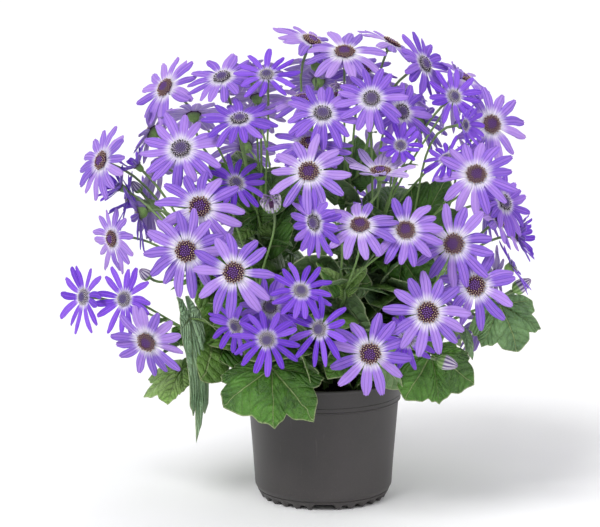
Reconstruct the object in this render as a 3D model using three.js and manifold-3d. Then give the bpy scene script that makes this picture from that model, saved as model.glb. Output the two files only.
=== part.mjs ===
// Florist cineraria in its nursery pot. Millimetres, +Z up, the pot's axis is Z and it stands on z = 0.
// Headings are degrees round Z: 0 faces -Y, 90 faces +X. Rises are degrees above the horizontal.
import * as THREE from 'three';
import Module from 'manifold-3d';
import { mergeVertices } from 'three/addons/utils/BufferGeometryUtils.js';

const wasm = await Module();
wasm.setup();

// Driving dimensions.
const MOST_NODES = 60;
const GAP = 0.3;
const SWELL = GAP + 0.1;
const POT_HEIGHT = 103;
const POT_RIM_RADIUS = 65;
const POT_NECK_RADIUS = 62.5;
const POT_WAIST_RADIUS = 57.5;
const POT_FOOT_RADIUS = 52;
const POT_WALL = 1.6;
const POT_COLLAR = 19;
const POT_FLOOR = 6;
const POT_SEGMENTS = 56;
const PAD_RADIUS = 21;
const FOOT_RISE = 2.4;
const FOOT_GAP_RISE = 3.4;
const DRAIN_HOLES = 4;
const DRAIN_RADIUS = 4;
const DRAIN_CIRCLE = 36;
const DRAIN_SIDES = 8;
const SOIL_EDGE = 91;
const SOIL_CROWN = 95;
const SOIL_SEGMENTS = 20;
const ROOT_TOP = 97;
const ROOT_LENGTH = 18;
const HOLE_DEPTH = 21;
const HOLE_SIDES = 6;
const HOLE_PLAY = 0.8;
const STEM_RADIUS = 2.4;
const STEM_SIDES = 5;
const STEM_RUNS = 3;
const FORK_SHARE = 0.62;
const FIRST_STALK = 0.6;
const LAST_STALK = 0.98;
const STALK_RADIUS = 0.95;
const STALK_SIDES = 3;
const HEAD_BERTH = 13;
const CUP_HEIGHT = 7;
const CUP_RADIUS = 4.8;
const PETAL_THICKNESS = 0.7;
const NOTCH_SHARE = 0.3;
const DISC_SHARE = 0.22;
const DISC_RISE = 2.6;
const LEAF_THICKNESS = 0.9;
const PETIOLE_RADIUS = 1.7;
const PETIOLE_SIDES = 4;
const PETIOLE_TAPER = [1, 0.95, 0.9, 0.8, 0.6];

// Flower heads by age: petals, half width of a petal's end as a share of the reach, and petal pitch.
const AGES = {
  mature: { petals: 10, width: 0.145, pitch: 3, colour: 0x9d7de8 },
  middle: { petals: 10, width: 0.14, pitch: 5, colour: 0x8a66e6 },
  young: { petals: 8, width: 0.15, pitch: 7, colour: 0x6a3ae4 },
  opening: { petals: 8, width: 0.1, pitch: 34, colour: 0x5424c8 },
  cupped: { petals: 8, width: 0.15, pitch: 24, colour: 0xb39cec },
};

// Each spray has the head's place x, y, z, its heading and rise, its reach and its age.
const SPRAYS = {
  leftTop: [
    [-129, -10, 343, -50, 30, 33, 'mature'], [-82, -35, 354, -25, 55, 31, 'middle'],
    [-46, -55, 358, -5, 50, 27, 'young'], [-61, 25, 349, -165, 50, 30, 'mature'],
    [-55, -5, 336, -165, 55, 27, 'mature'], [-67, -75, 325, -10, 60, 31, 'middle'],
    [-113, -80, 302, -10, 35, 34, 'middle'], [-142, 0, 306, -110, 25, 30, 'mature'],
    [-105, -35, 325, -170, 60, 30, 'mature'],
  ],
  leftMiddle: [
    [-180, -30, 286, -55, 20, 32, 'mature'], [-152, -25, 282, -85, 45, 18, 'opening'],
    [-166, -30, 265, -70, 30, 20, 'opening'], [-151, -25, 242, -90, -15, 32, 'young'],
    [-161, -5, 252, -85, 10, 25, 'young'], [-172, -35, 223, -50, 0, 28, 'mature'],
  ],
  leftLow: [
    [-196, -35, 175, -50, 10, 30, 'young'], [-161, -60, 178, -30, 15, 28, 'young'],
    [-142, -75, 146, -25, -15, 33, 'mature'],
  ],
  frontLeft: [
    [-97, -115, 261, -5, 25, 35, 'mature'], [-107, -130, 229, -15, 5, 35, 'mature'],
    [-70, -150, 216, -5, 10, 34, 'mature'], [-70, -72, 274, 20, 35, 26, 'young'],
  ],
  front: [
    [-13, -125, 290, -10, 30, 33, 'mature'], [-12, -95, 308, 0, 65, 34, 'mature'],
    [-2, -90, 331, 5, 45, 31, 'middle'], [-17, -55, 338, -10, 70, 32, 'mature'],
    [43, -95, 286, -5, 75, 31, 'cupped'],
  ],
  top: [
    [16, -35, 374, 0, 60, 34, 'mature'], [31, -5, 358, 25, 70, 33, 'mature'],
    [-10, -10, 381, 55, 60, 33, 'mature'], [55, -5, 379, 85, 60, 31, 'mature'],
    [81, -20, 363, 55, 25, 30, 'middle'],
  ],
  rightTop: [
    [36, -85, 342, 0, 30, 29, 'middle'], [61, -60, 329, 30, 20, 28, 'middle'],
    [59, -85, 305, 0, 30, 20, 'opening'], [103, -50, 340, 25, 25, 25, 'young'],
    [101, -25, 335, -115, 10, 29, 'mature'], [113, -15, 352, 60, 60, 27, 'mature'],
  ],
  right: [
    [134, -35, 316, 20, 15, 32, 'mature'], [111, -60, 318, 50, 5, 20, 'opening'],
    [95, -75, 294, -50, 45, 22, 'young'], [118, -90, 283, 0, 30, 33, 'mature'],
  ],
  frontRight: [
    [-9, -135, 252, -45, -5, 28, 'middle'], [26, -140, 251, -5, 50, 31, 'mature'],
    [61, -140, 247, 0, 25, 30, 'mature'],
  ],
  rightMiddle: [
    [99, -120, 233, -15, 10, 34, 'mature'], [137, -75, 245, 80, 40, 29, 'mature'],
    [143, -65, 257, 45, 20, 29, 'middle'], [157, -40, 226, 75, 5, 22, 'opening'],
    [151, -60, 205, 90, 30, 25, 'young'], [116, -125, 201, -20, 15, 33, 'mature'],
  ],
  rightLow: [
    [78, -145, 184, 5, 10, 34, 'mature'], [34, -150, 153, 0, 0, 34, 'mature'],
    [-5, -150, 172, -30, 10, 28, 'young'], [64, -118, 157, 0, 35, 25, 'young'],
  ],
  frontLow: [
    [-45, -150, 164, 0, -10, 28, 'young'], [-19, -145, 201, 10, 35, 26, 'young'],
    [-43, -118, 183, 10, 25, 26, 'middle'], [-70, -120, 168, -35, -15, 26, 'young'],
  ],
};

// Buds: the spray that bears each, its place x, y, z, its heading and rise, and its radius.
const BUDS = [
  ['leftMiddle', -146, -45, 197, -60, 40, 4.2], ['leftMiddle', -154, -15, 264, -70, 50, 3.5],
  ['frontLeft', -42, -95, 261, -20, 55, 5], ['top', 11, -60, 344, 10, 70, 5],
  ['rightMiddle', 159, -45, 186, 85, 35, 5], ['rightLow', 96, -97, 134, 80, -15, 5],
];

// Leafy stems: the node's name, where it stands in the soil, and the sprays that it carries.
const STEMS = [
  ['leafy_stem_left_top', -80, 22, ['leftTop']],
  ['leafy_stem_left', -95, 32, ['leftMiddle', 'leftLow']],
  ['leafy_stem_front_left', -35, 27, ['frontLeft', 'frontLow']],
  ['leafy_stem_front', 5, 17, ['front', 'frontRight']],
  ['leafy_stem_top', 90, 5, ['top']],
  ['leafy_stem_right_top', 60, 20, ['rightTop', 'right']],
  ['leafy_stem_right', 60, 34, ['rightMiddle', 'rightLow']],
  ['leafy_stem_back', 180, 22, ['backLeft', 'backRight']],
];

// Heads on the back of the plant: a golden-angle walk down the dome, with a mate beside each of them.
const DOME = { x: -8, y: 0, z: 205, across: 158, deep: 130, high: 163 };
const BACK_WALK = 96;
const BACK_SPACING = 56;
const BACK_FRONT = -20;
const MATE_DISTANCE = 38;
const MATE_SPACING = 42;
const MATE_LEAN = 0.55;
const BACK_LOWEST = 135;
const BACK_AGES = ['mature', 'middle', 'mature', 'young'];
const GOLDEN_ANGLE = 137.5;

// Large leaves: name, place of the petiole's joint with the blade, heading, rise, roll, length and width.
const LEAVES = [
  ['leaf_front_left', [-42, -84, 126], -8, -48, 0, 46, 50],
  ['leaf_front_right', [85, -72, 135], 30, -58, 15, 38, 40],
  ['leaf_right', [143, -30, 167], 48, -56, 30, 40, 35],
  ['leaf_left_hanging', [-109, -48, 160], 50, -70, 0, 92, 16],
  ['leaf_left_low', [-116, -30, 113], -82, -24, -18, 36, 32],
  ['leaf_right_low', [113, -40, 148], 60, -55, 0, 24, 10],
  ['leaf_back_left', [-72, 66, 132], -142, -16, 0, 62, 48],
  ['leaf_back', [2, 88, 124], 178, -30, 0, 62, 48],
  ['leaf_back_right', [76, 62, 140], 130, -14, 0, 62, 48],
];
const PETIOLE_CIRCLE = 43;
const LEAF_TEETH = 9;
const LEAF_WAVE = 0.03;

// A blade that falls more steeply than this hangs, and its petiole bends over in three times as many rings.
const HANGING_RISE = -60;
const HANGING_RINGS = 3;
const STEM_LEAF = 52;
const SINUS_ANGLE = 160;

const UP = new THREE.Vector3(0, 0, 1);
const radians = THREE.MathUtils.degToRad;

// A repeatable random number maker, from 0 to 1.
function draws(seed) {
  let state = seed;
  return () => {
    state = (Math.imul(state, 1664525) + 1013904223) >>> 0;
    return state / 4294967296;
  };
}

function direction(heading, rise) {
  const turn = radians(heading);
  const lift = radians(rise);
  const flat = Math.cos(lift);
  return new THREE.Vector3(Math.sin(turn) * flat, -Math.cos(turn) * flat, Math.sin(lift));
}

function onCircle(heading, radius, z) {
  return direction(heading, 0).multiplyScalar(radius).setZ(z);
}

// Solids.
function toSolid(geometry) {
  geometry.deleteAttribute('normal');
  geometry.deleteAttribute('uv');
  const merged = mergeVertices(geometry, 1e-4);
  const mesh = new wasm.Mesh({
    numProp: 3,
    vertProperties: new Float32Array(merged.attributes.position.array),
    triVerts: new Uint32Array(merged.index.array),
  });
  return new wasm.Manifold(mesh);
}

function toGeometry(solid) {
  const mesh = solid.getMesh();
  const geometry = new THREE.BufferGeometry();
  geometry.setAttribute('position', new THREE.BufferAttribute(mesh.vertProperties, 3));
  geometry.setIndex(new THREE.BufferAttribute(mesh.triVerts, 1));
  geometry.computeVertexNormals();
  return geometry;
}

function faceted(points, faces) {
  const geometry = new THREE.BufferGeometry();
  geometry.setAttribute('position', new THREE.Float32BufferAttribute(points.flatMap((p) => p.toArray()), 3));
  geometry.setIndex(faces.flat());
  return toSolid(geometry);
}

function joined(solids) {
  return wasm.Manifold.union(solids);
}

function largest(solid) {
  const pieces = solid.decompose();
  return pieces.reduce((best, piece) => (piece.volume() > best.volume() ? piece : best), pieces[0]);
}

// A closed skin over rings of equally many points, each ring anticlockwise about the way it travels.
function loft(rings) {
  const sides = rings[0].length;
  const faces = [];
  for (let ring = 0; ring + 1 < rings.length; ring += 1) {
    for (let side = 0; side < sides; side += 1) {
      const next = (side + 1) % sides;
      const here = ring * sides;
      const there = here + sides;
      faces.push([here + side, here + next, there + next], [here + side, there + next, there + side]);
    }
  }
  const last = (rings.length - 1) * sides;
  for (let side = 1; side + 1 < sides; side += 1) {
    faces.push([0, side + 1, side], [last, last + side, last + side + 1]);
  }
  return faceted(rings.flat(), faces);
}

// A tapered tube along a curve, straight for its root and then rings past its end: each tail row is
// an advance along the last tangent and a radius.
function tapered(curve, radii, sides, { root = 0, tail = [] } = {}) {
  const frames = curve.computeFrenetFrames(radii.length - 1, false);
  const ring = (centre, index, radius) => Array.from({ length: sides }, (_, side) => {
    const turn = (side * 2 * Math.PI) / sides;
    return centre.clone()
      .addScaledVector(frames.normals[index], radius * Math.cos(turn))
      .addScaledVector(frames.binormals[index], radius * Math.sin(turn));
  });
  const last = radii.length - 1;
  const rings = radii.map((radius, index) => ring(curve.getPointAt(index / last), index, radius));
  if (root > 0) {
    rings.unshift(ring(curve.getPointAt(0).addScaledVector(frames.tangents[0], -root), 0, radii[0]));
  }
  for (const [advance, radius] of tail) {
    const centre = curve.getPointAt(1).addScaledVector(frames.tangents[last], advance);
    rings.push(ring(centre, last, radius));
  }
  return loft(rings);
}

// A point on the straight runs between a tapered tube's rings.
function onRuns(curve, runs, share) {
  const run = Math.min(Math.floor(share * runs), runs - 1);
  return curve.getPointAt(run / runs).lerp(curve.getPointAt((run + 1) / runs), share * runs - run);
}

// The pot.
function footRise(index) {
  const inQuarter = index % (POT_SEGMENTS / 4);
  const nearGap = Math.min(inQuarter, POT_SEGMENTS / 4 - inQuarter);
  if (nearGap <= 1) return FOOT_GAP_RISE;
  return inQuarter % 2 === 0 ? 0 : FOOT_RISE;
}

function turned(profile, segments) {
  const outline = profile.map(([radius, z]) => new THREE.Vector2(radius, z));
  return new THREE.LatheGeometry(outline, segments).rotateX(Math.PI / 2);
}

function pot() {
  const collarFoot = POT_HEIGHT - POT_COLLAR;
  const footInner = POT_FOOT_RADIUS - 5.5;
  const profile = [
    [0, 0], [PAD_RADIUS, 0], [PAD_RADIUS + 4, 4], [footInner - 2, 4], [footInner, 0],
    [POT_FOOT_RADIUS, 0], [POT_FOOT_RADIUS + 2, 4], [POT_WAIST_RADIUS, 18],
    [POT_NECK_RADIUS, collarFoot - 1], [POT_RIM_RADIUS - 0.7, collarFoot + 0.5],
    [POT_RIM_RADIUS, POT_HEIGHT], [POT_RIM_RADIUS - POT_WALL, POT_HEIGHT],
    [POT_NECK_RADIUS - POT_WALL, collarFoot - 1], [POT_WAIST_RADIUS - POT_WALL, 17],
    [POT_FOOT_RADIUS + 0.6, POT_FLOOR], [0, POT_FLOOR],
  ];
  const geometry = turned(profile, POT_SEGMENTS);
  const spots = geometry.attributes.position;
  const rows = profile.length;
  for (let vertex = 0; vertex < spots.count; vertex += 1) {
    const row = vertex % rows;
    if (row === 4 || row === 5) spots.setZ(vertex, footRise(Math.floor(vertex / rows) % POT_SEGMENTS));
  }
  const drains = Array.from({ length: DRAIN_HOLES }, (_, index) => {
    const drain = new THREE.CylinderGeometry(DRAIN_RADIUS, DRAIN_RADIUS, 3 * POT_FLOOR, DRAIN_SIDES);
    drain.rotateX(Math.PI / 2);
    const centre = onCircle((index * 360) / DRAIN_HOLES, DRAIN_CIRCLE, POT_FLOOR);
    return toSolid(drain.translate(centre.x, centre.y, centre.z));
  });
  return toSolid(geometry).subtract(joined(drains));
}

// The soil, with a plain hole for everything that stands in it.
function soil(feet) {
  const wall = POT_WALL + GAP + 0.15;
  const neck = POT_HEIGHT - POT_COLLAR - 1;
  const profile = [
    [0, POT_FLOOR + GAP], [POT_FOOT_RADIUS + 0.1, POT_FLOOR + GAP], [POT_WAIST_RADIUS - wall, 17],
    [POT_NECK_RADIUS - wall, neck], [POT_NECK_RADIUS - wall, SOIL_EDGE],
    [POT_NECK_RADIUS * 0.66, SOIL_EDGE + 2.5], [POT_NECK_RADIUS * 0.3, SOIL_CROWN], [0, SOIL_CROWN],
  ];
  const holes = feet.map(({ spot, radius }) => {
    const bore = new THREE.CylinderGeometry(radius, radius, 2 * HOLE_DEPTH, HOLE_SIDES).rotateX(Math.PI / 2);
    return toSolid(bore.translate(spot.x, spot.y, SOIL_EDGE + 2));
  });
  return toSolid(turned(profile, SOIL_SEGMENTS)).subtract(joined(holes));
}

// Flower heads.
function readHead([x, y, z, heading, rise, reach, age], index) {
  const facing = direction(heading, rise);
  const across = new THREE.Vector3().crossVectors(UP, facing).normalize();
  const upward = new THREE.Vector3().crossVectors(facing, across);
  return { centre: new THREE.Vector3(x, y, z), facing, across, upward, reach, ...AGES[age], seed: index + 1 };
}

function apart(spot, rows, distance) {
  return rows.every((row) => spot.distanceTo(new THREE.Vector3(...row)) > distance);
}

function backHeads(taken) {
  const kept = [];
  const add = (spot, facing) => {
    const heading = Math.round(THREE.MathUtils.radToDeg(Math.atan2(facing.x, -facing.y)));
    const rise = Math.round(THREE.MathUtils.radToDeg(Math.asin(facing.z)));
    const place = spot.toArray().map(Math.round);
    kept.push([...place, heading, rise, 30 + (kept.length % 3), BACK_AGES[kept.length % 4]]);
  };
  for (let step = 1; step < BACK_WALK; step += 1) {
    const out = direction(step * GOLDEN_ANGLE, 88 - (98 * step) / BACK_WALK);
    const spot = new THREE.Vector3(out.x * DOME.across, out.y * DOME.deep, out.z * DOME.high)
      .add(new THREE.Vector3(DOME.x, DOME.y, DOME.z));
    if (spot.y < BACK_FRONT || !apart(spot, [...taken, ...kept], BACK_SPACING)) continue;
    const ways = [90, -90, 150, 30].map((turn) => new THREE.Vector3().crossVectors(out, UP).normalize()
      .applyAxisAngle(out, radians(turn)));
    const beside = (way) => spot.clone().addScaledVector(way, MATE_DISTANCE).addScaledVector(out, -5);
    const way = ways.find((away) => {
      const place = beside(away);
      return place.y > BACK_FRONT && place.z > BACK_LOWEST && apart(place, [...taken, ...kept], MATE_SPACING);
    });
    add(spot, out);
    if (way) add(beside(way), out.clone().addScaledVector(way, MATE_LEAN).normalize());
  }
  return kept;
}

// The four top corners of a petal: both notches and both shoulders, and the way its face looks.
function petalCorners(head, petal, bend) {
  const step = (2 * Math.PI) / head.petals;
  const draw = draws(head.seed * 97 + petal * 13);
  const stretch = 0.93 + 0.1 * draw();
  const pitch = radians(head.pitch + 10 * (draw() - 0.5) + bend.pitch);
  const root = head.reach * NOTCH_SHARE;
  const out = (turn) => head.across.clone().multiplyScalar(Math.cos(turn))
    .addScaledVector(head.upward, Math.sin(turn));
  const middle = (petal + 0.5) * step + radians(bend.yaw);
  const length = (head.reach * stretch - root) * bend.length;
  const tip = head.centre.clone()
    .addScaledVector(out(middle), root + length * Math.cos(pitch))
    .addScaledVector(head.facing, length * Math.sin(pitch));
  const side = out(middle + Math.PI / 2);
  const half = head.reach * head.width * Math.min(1, 0.5 + 0.5 * bend.length);
  const face = head.facing.clone().multiplyScalar(Math.cos(pitch))
    .addScaledVector(out(middle), -Math.sin(pitch));
  const notch = (turn) => head.centre.clone().addScaledVector(out(turn), root);
  const corners = [
    notch(petal * step), tip.clone().addScaledVector(side, -half),
    tip.clone().addScaledVector(side, half), notch((petal + 1) * step),
  ];
  return { corners, face, side };
}

// A petal by itself, larger all round by the gap, to try where it may lie.
function petalTrial(head, petal, bend) {
  const { corners, face, side } = petalCorners(head, petal, bend);
  const spread = [-GAP, -GAP, GAP, GAP];
  const grown = corners.map((corner, index) => corner.clone().addScaledVector(side, spread[index]));
  const lower = grown.map((corner) => corner.clone().addScaledVector(face, -PETAL_THICKNESS - GAP));
  const upper = grown.map((corner) => corner.clone().addScaledVector(face, GAP));
  return loft([lower, upper]);
}

// The middle of a head, larger all round by the gap: the disc and the roots of the petals.
function coreTrial(head) {
  const core = new THREE.CylinderGeometry(
    head.reach * DISC_SHARE, head.reach * NOTCH_SHARE + GAP, DISC_RISE + PETAL_THICKNESS + GAP, 8,
  ).rotateX(Math.PI / 2);
  const basis = new THREE.Matrix4().makeBasis(head.across, head.upward, head.facing);
  core.translate(0, 0, (DISC_RISE - PETAL_THICKNESS) / 2).applyMatrix4(basis.setPosition(head.centre));
  return toSolid(core);
}

// One closed head: a domed disc inside a star of petals that share their notches.
function flowerHead(head, bends) {
  const count = head.petals;
  const half = count / 2;
  const petals = bends.map((bend, petal) => petalCorners(head, petal, bend));
  const deep = (point, way) => point.clone().addScaledVector(way, -PETAL_THICKNESS);
  const apex = head.centre.clone().addScaledVector(head.facing, DISC_RISE);
  const disc = Array.from({ length: half }, (_, index) => {
    const turn = ((2 * index + 0.5) * 2 * Math.PI) / count;
    return head.centre.clone()
      .addScaledVector(head.across, head.reach * DISC_SHARE * Math.cos(turn))
      .addScaledVector(head.upward, head.reach * DISC_SHARE * Math.sin(turn))
      .addScaledVector(head.facing, DISC_RISE * 0.6);
  });
  const notches = petals.map(({ corners }) => corners[0]);
  const shoulders = petals.flatMap(({ corners }) => [corners[1], corners[2]]);
  const lowNotches = notches.map((point) => deep(point, head.facing));
  const lowShoulders = petals
    .flatMap(({ corners, face }) => [deep(corners[1], face), deep(corners[2], face)]);
  const points = [apex, ...disc, ...notches, ...shoulders, ...lowNotches, ...lowShoulders];
  const notch = (petal) => 1 + half + (petal % count);
  const shoulder = (petal, which) => 1 + half + count + 2 * petal + which;
  const below = 3 * count;
  const faces = [];
  for (let index = 0; index < half; index += 1) {
    const here = 1 + index;
    const next = 1 + ((index + 1) % half);
    const [first, second, third] = [notch(2 * index), notch(2 * index + 1), notch(2 * index + 2)];
    faces.push([0, here, next], [here, first, second], [here, second, next], [next, second, third]);
  }
  for (let petal = 0; petal < count; petal += 1) {
    const [rootA, rootB] = [notch(petal), notch(petal + 1)];
    const [endA, endB] = [shoulder(petal, 0), shoulder(petal, 1)];
    faces.push([rootA, endA, endB], [rootA, endB, rootB]);
    faces.push([rootA + below, endB + below, endA + below], [rootA + below, rootB + below, endB + below]);
    for (const [from, to] of [[rootA, endA], [endA, endB], [endB, rootB]]) {
      faces.push([from, from + below, to + below], [from, to + below, to]);
    }
  }
  for (let petal = 1; petal + 1 < count; petal += 1) {
    faces.push([notch(0) + below, notch(petal + 1) + below, notch(petal) + below]);
  }
  return faceted(points, faces);
}

// Stems and stalks.
function seat(head) {
  return head.centre.clone().addScaledVector(head.facing, -PETAL_THICKNESS - GAP - CUP_HEIGHT);
}

function clearOfHeads(curve, own, heads) {
  const spots = curve.getPoints(12);
  const clear = (head) => spots.every((spot) => spot.distanceTo(head.centre) > HEAD_BERTH);
  return heads.every((head) => head === own || clear(head));
}

function stalkCurve(start, head, heads, rootway) {
  const end = seat(head);
  const span = start.distanceTo(end);
  const leaving = end.clone().sub(start).normalize().multiplyScalar(2).add(rootway).normalize();
  const sideways = new THREE.Vector3().crossVectors(UP, rootway).normalize();
  let chosen = null;
  for (const sway of [0, 0.2, -0.2, 0.35, -0.35, 0.5, -0.5]) {
    const first = start.clone().addScaledVector(leaving, span * 0.4).addScaledVector(sideways, span * sway);
    const second = end.clone().addScaledVector(head.facing, -span * 0.35)
      .addScaledVector(sideways, span * sway * 0.5);
    const lastway = end.clone().addScaledVector(head.facing, -Math.min(12, span * 0.3));
    const curve = new THREE.CubicBezierCurve3(start, first, second.lerp(lastway, sway === 0 ? 0 : 0.4), end);
    chosen ??= curve;
    if (clearOfHeads(curve, head, heads)) return curve;
  }
  return chosen;
}

function stalk(start, rootway, head, heads, tail, swell) {
  const curve = stalkCurve(start, head, heads, rootway);
  const along = STALK_RADIUS + swell;
  const grown = tail.map(([advance, radius]) => [advance + swell, radius + swell]);
  return tapered(curve, [along, along, along], STALK_SIDES, { tail: grown });
}

// The cup under a flower head, and a closed bud, as advances past the stalk's end and radii.
const CUP = [[0.35 * CUP_HEIGHT, CUP_RADIUS * 0.85], [CUP_HEIGHT, CUP_RADIUS]];

function budShape(radius) {
  return [[0.3 * CUP_HEIGHT, radius], [1.1 * CUP_HEIGHT, 0.8 * radius], [1.7 * CUP_HEIGHT, 0.3 * radius]];
}

function middleOf(heads) {
  const sum = heads.reduce((total, head) => total.add(head.centre), new THREE.Vector3());
  return sum.divideScalar(heads.length);
}

function forkOf(heads) {
  return new THREE.Vector3(0, 0, SOIL_CROWN).lerp(middleOf(heads), FORK_SHARE);
}

function stemParts([, heading, radius, names], sprays, heads, swell) {
  const foot = onCircle(heading, radius, ROOT_TOP);
  const thick = STEM_RADIUS + swell;
  const forks = names.map((name) => ({ name, fork: forkOf(sprays[name]) }));
  forks.sort((one, other) => other.fork.z - one.fork.z);
  const solids = [];
  let trunk = null;
  for (const { name, fork } of forks) {
    const start = trunk ? onRuns(trunk, STEM_RUNS, 0.3) : foot;
    const rise = (fork.z - start.z) * 0.5;
    const curve = new THREE.CubicBezierCurve3(
      start, start.clone().addScaledVector(UP, trunk ? rise * 0.4 : rise),
      fork.clone().addScaledVector(UP, -rise * 0.6), fork,
    );
    const girths = [thick, thick * 0.95, thick * 0.85, thick * 0.7];
    solids.push(tapered(curve, girths, STEM_SIDES, { root: trunk ? 0 : ROOT_LENGTH + swell }));
    trunk ??= curve;
    const buds = BUDS.filter(([spray]) => spray === name)
      .map(([, x, y, z, turn, lift, size]) => ({ ...readHead([x, y, z, turn, lift, size, 'bud']), size }));
    const crowd = [...sprays[name], ...buds];
    crowd.forEach((head, index) => {
      const share = FIRST_STALK + ((LAST_STALK - FIRST_STALK) * index) / Math.max(1, crowd.length - 1);
      const tail = head.size ? budShape(head.size) : CUP;
      const root = onRuns(curve, STEM_RUNS, share);
      solids.push(stalk(root, curve.getTangentAt(share), head, heads, tail, swell));
    });
    solids.push(stemLeaf(curve, fork, swell));
  }
  return joined(solids);
}

// Leaves. The outline is a heart with teeth, in polar form about the petiole's joint.
function blade({ joint, heading, rise, roll, length, width, teeth, sinus, fold, droop, swell }) {
  const along = direction(heading, rise);
  const level = new THREE.Vector3().crossVectors(UP, along).normalize().applyAxisAngle(along, radians(roll));
  const over = new THREE.Vector3().crossVectors(along, level);
  const count = 2 * teeth - 1;
  const tops = [joint.clone().addScaledVector(along, -swell)];
  for (let index = 0; index < count; index += 1) {
    const turn = radians(sinus * ((2 * index) / (count - 1) - 1));
    const tooth = index % 2 === 0 ? 1.05 : 0.87;
    const heart = (0.56 + 0.44 * Math.cos(0.92 * turn)) * tooth * (1 + (2 * swell) / length);
    const forward = length * heart * Math.cos(turn);
    const across = width * 1.25 * heart * Math.sin(turn);
    const sag = fold * Math.abs(across) - droop * (forward * forward + across * across) / length;
    const wave = LEAF_WAVE * Math.min(length, 2 * width) * Math.sin(index * 1.9);
    tops.push(joint.clone().addScaledVector(along, forward).addScaledVector(level, across)
      .addScaledVector(over, sag + wave));
  }
  const lows = tops.map((point) => point.clone().addScaledVector(over, -LEAF_THICKNESS - swell));
  tops.forEach((point) => point.addScaledVector(over, swell));
  const below = tops.length;
  const faces = [];
  for (let index = 1; index < count; index += 1) {
    faces.push([0, index, index + 1], [below, below + index + 1, below + index]);
  }
  for (let index = 0; index < below; index += 1) {
    const next = (index + 1) % below;
    faces.push([index, below + index, below + next], [index, below + next, next]);
  }
  return { solid: faceted([...tops, ...lows], faces), along, over };
}

function stemLeaf(curve, fork, swell) {
  const outward = Math.round(THREE.MathUtils.radToDeg(Math.atan2(fork.x, -fork.y)));
  return blade({
    joint: onRuns(curve, STEM_RUNS, 0.5), heading: outward - 20, rise: 14, roll: 0, length: STEM_LEAF,
    width: STEM_LEAF * 0.6, teeth: 3, sinus: 95, fold: 0.12, droop: 0.3, swell,
  }).solid;
}

function leafFoot(joint) {
  const heading = THREE.MathUtils.radToDeg(Math.atan2(joint.x, -joint.y));
  return onCircle(heading, PETIOLE_CIRCLE, ROOT_TOP);
}

function largeLeaf([, spot, heading, rise, roll, length, width], swell) {
  const joint = new THREE.Vector3(...spot);
  const { solid, along, over } = blade({
    joint, heading, rise, roll, length, width, teeth: LEAF_TEETH, sinus: SINUS_ANGLE, fold: 0.1, droop: 0.28,
    swell,
  });
  const foot = leafFoot(joint);
  const end = joint.clone().addScaledVector(along, 5).addScaledVector(over, -LEAF_THICKNESS / 2);
  const climb = new THREE.Vector3(foot.x, foot.y, POT_HEIGHT + 14);
  const petiole = new THREE.CubicBezierCurve3(foot, climb, joint.clone().addScaledVector(along, -16), end);
  const last = PETIOLE_TAPER.length - 1;
  const runs = rise < HANGING_RISE ? HANGING_RINGS * last : last;
  const girths = Array.from({ length: runs + 1 }, (_, index) => {
    const place = (index * last) / runs;
    const from = Math.min(Math.floor(place), last - 1);
    const share = THREE.MathUtils.lerp(PETIOLE_TAPER[from], PETIOLE_TAPER[from + 1], place - from);
    return share * PETIOLE_RADIUS + swell;
  });
  return solid.add(tapered(petiole, girths, PETIOLE_SIDES, { root: ROOT_LENGTH + swell }));
}

// Bending petals clear of all that isn't fused to them.
const STRAIGHT = { pitch: 0, yaw: 0, length: 1 };

function overlapping(one, other) {
  for (let axis = 0; axis < 3; axis += 1) {
    if (one.box.min[axis] > other.box.max[axis] || one.box.max[axis] < other.box.min[axis]) return false;
  }
  return !one.solid.intersect(other.solid).isEmpty();
}

function obstacle(solid, owner) {
  return { solid, owner, box: solid.boundingBox() };
}

const bendSize = ({ pitch, yaw }) => Math.abs(pitch) + Math.abs(yaw);
const BENDS = [0, 7, -7, 14, -14, 22, -22, 32, -32, 44]
  .flatMap((pitch) => [0, 5, -5].map((yaw) => ({ pitch, yaw, length: 1 })))
  .sort((one, other) => bendSize(one) - bendSize(other));
const SHORTER = [0.75, 0.5, 0.25, 0.08];

function bendClear(head, petal, near) {
  const free = (bend) => {
    const trial = obstacle(petalTrial(head, petal, bend));
    return near.every((thing) => !overlapping(trial, thing));
  };
  for (const bend of BENDS) {
    if (free(bend)) return bend;
  }
  for (const length of SHORTER) {
    for (const pitch of [0, 15, -15]) {
      const bend = { pitch, yaw: 0, length };
      if (free(bend)) return bend;
    }
  }
  return { ...STRAIGHT, length: 0.05 };
}

// Pairs of heads whose petals cross, most crossings first.
function crossings(heads) {
  const trials = heads.map((head) => Array.from({ length: head.petals },
    (_, petal) => obstacle(petalTrial(head, petal, STRAIGHT))));
  const pairs = [];
  for (let one = 0; one < heads.length; one += 1) {
    for (let other = one + 1; other < heads.length; other += 1) {
      const span = heads[one].centre.distanceTo(heads[other].centre);
      if (span > heads[one].reach + heads[other].reach) continue;
      const count = trials[one]
        .reduce((sum, mine) => sum + trials[other].filter((theirs) => overlapping(mine, theirs)).length, 0);
      if (count > 0) pairs.push({ one, other, count });
    }
  }
  return pairs.sort((first, second) => second.count - first.count);
}

// Heads that cross are fused, most crossings first, until few enough nodes are left.
function bunches(heads, pairs, most) {
  const group = heads.map((_, index) => index);
  const size = (name) => group.filter((entry) => entry === name).length;
  let left = heads.length;
  for (const crowd of [2, 3, 4, 5, 6, 7, 8]) {
    for (const { one, other } of pairs) {
      const [mine, theirs] = [group[one], group[other]];
      if (left <= most || mine === theirs || size(mine) + size(theirs) > crowd) continue;
      group.forEach((entry, index) => {
        if (entry === theirs) group[index] = mine;
      });
      left -= 1;
    }
  }
  return group;
}

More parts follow.
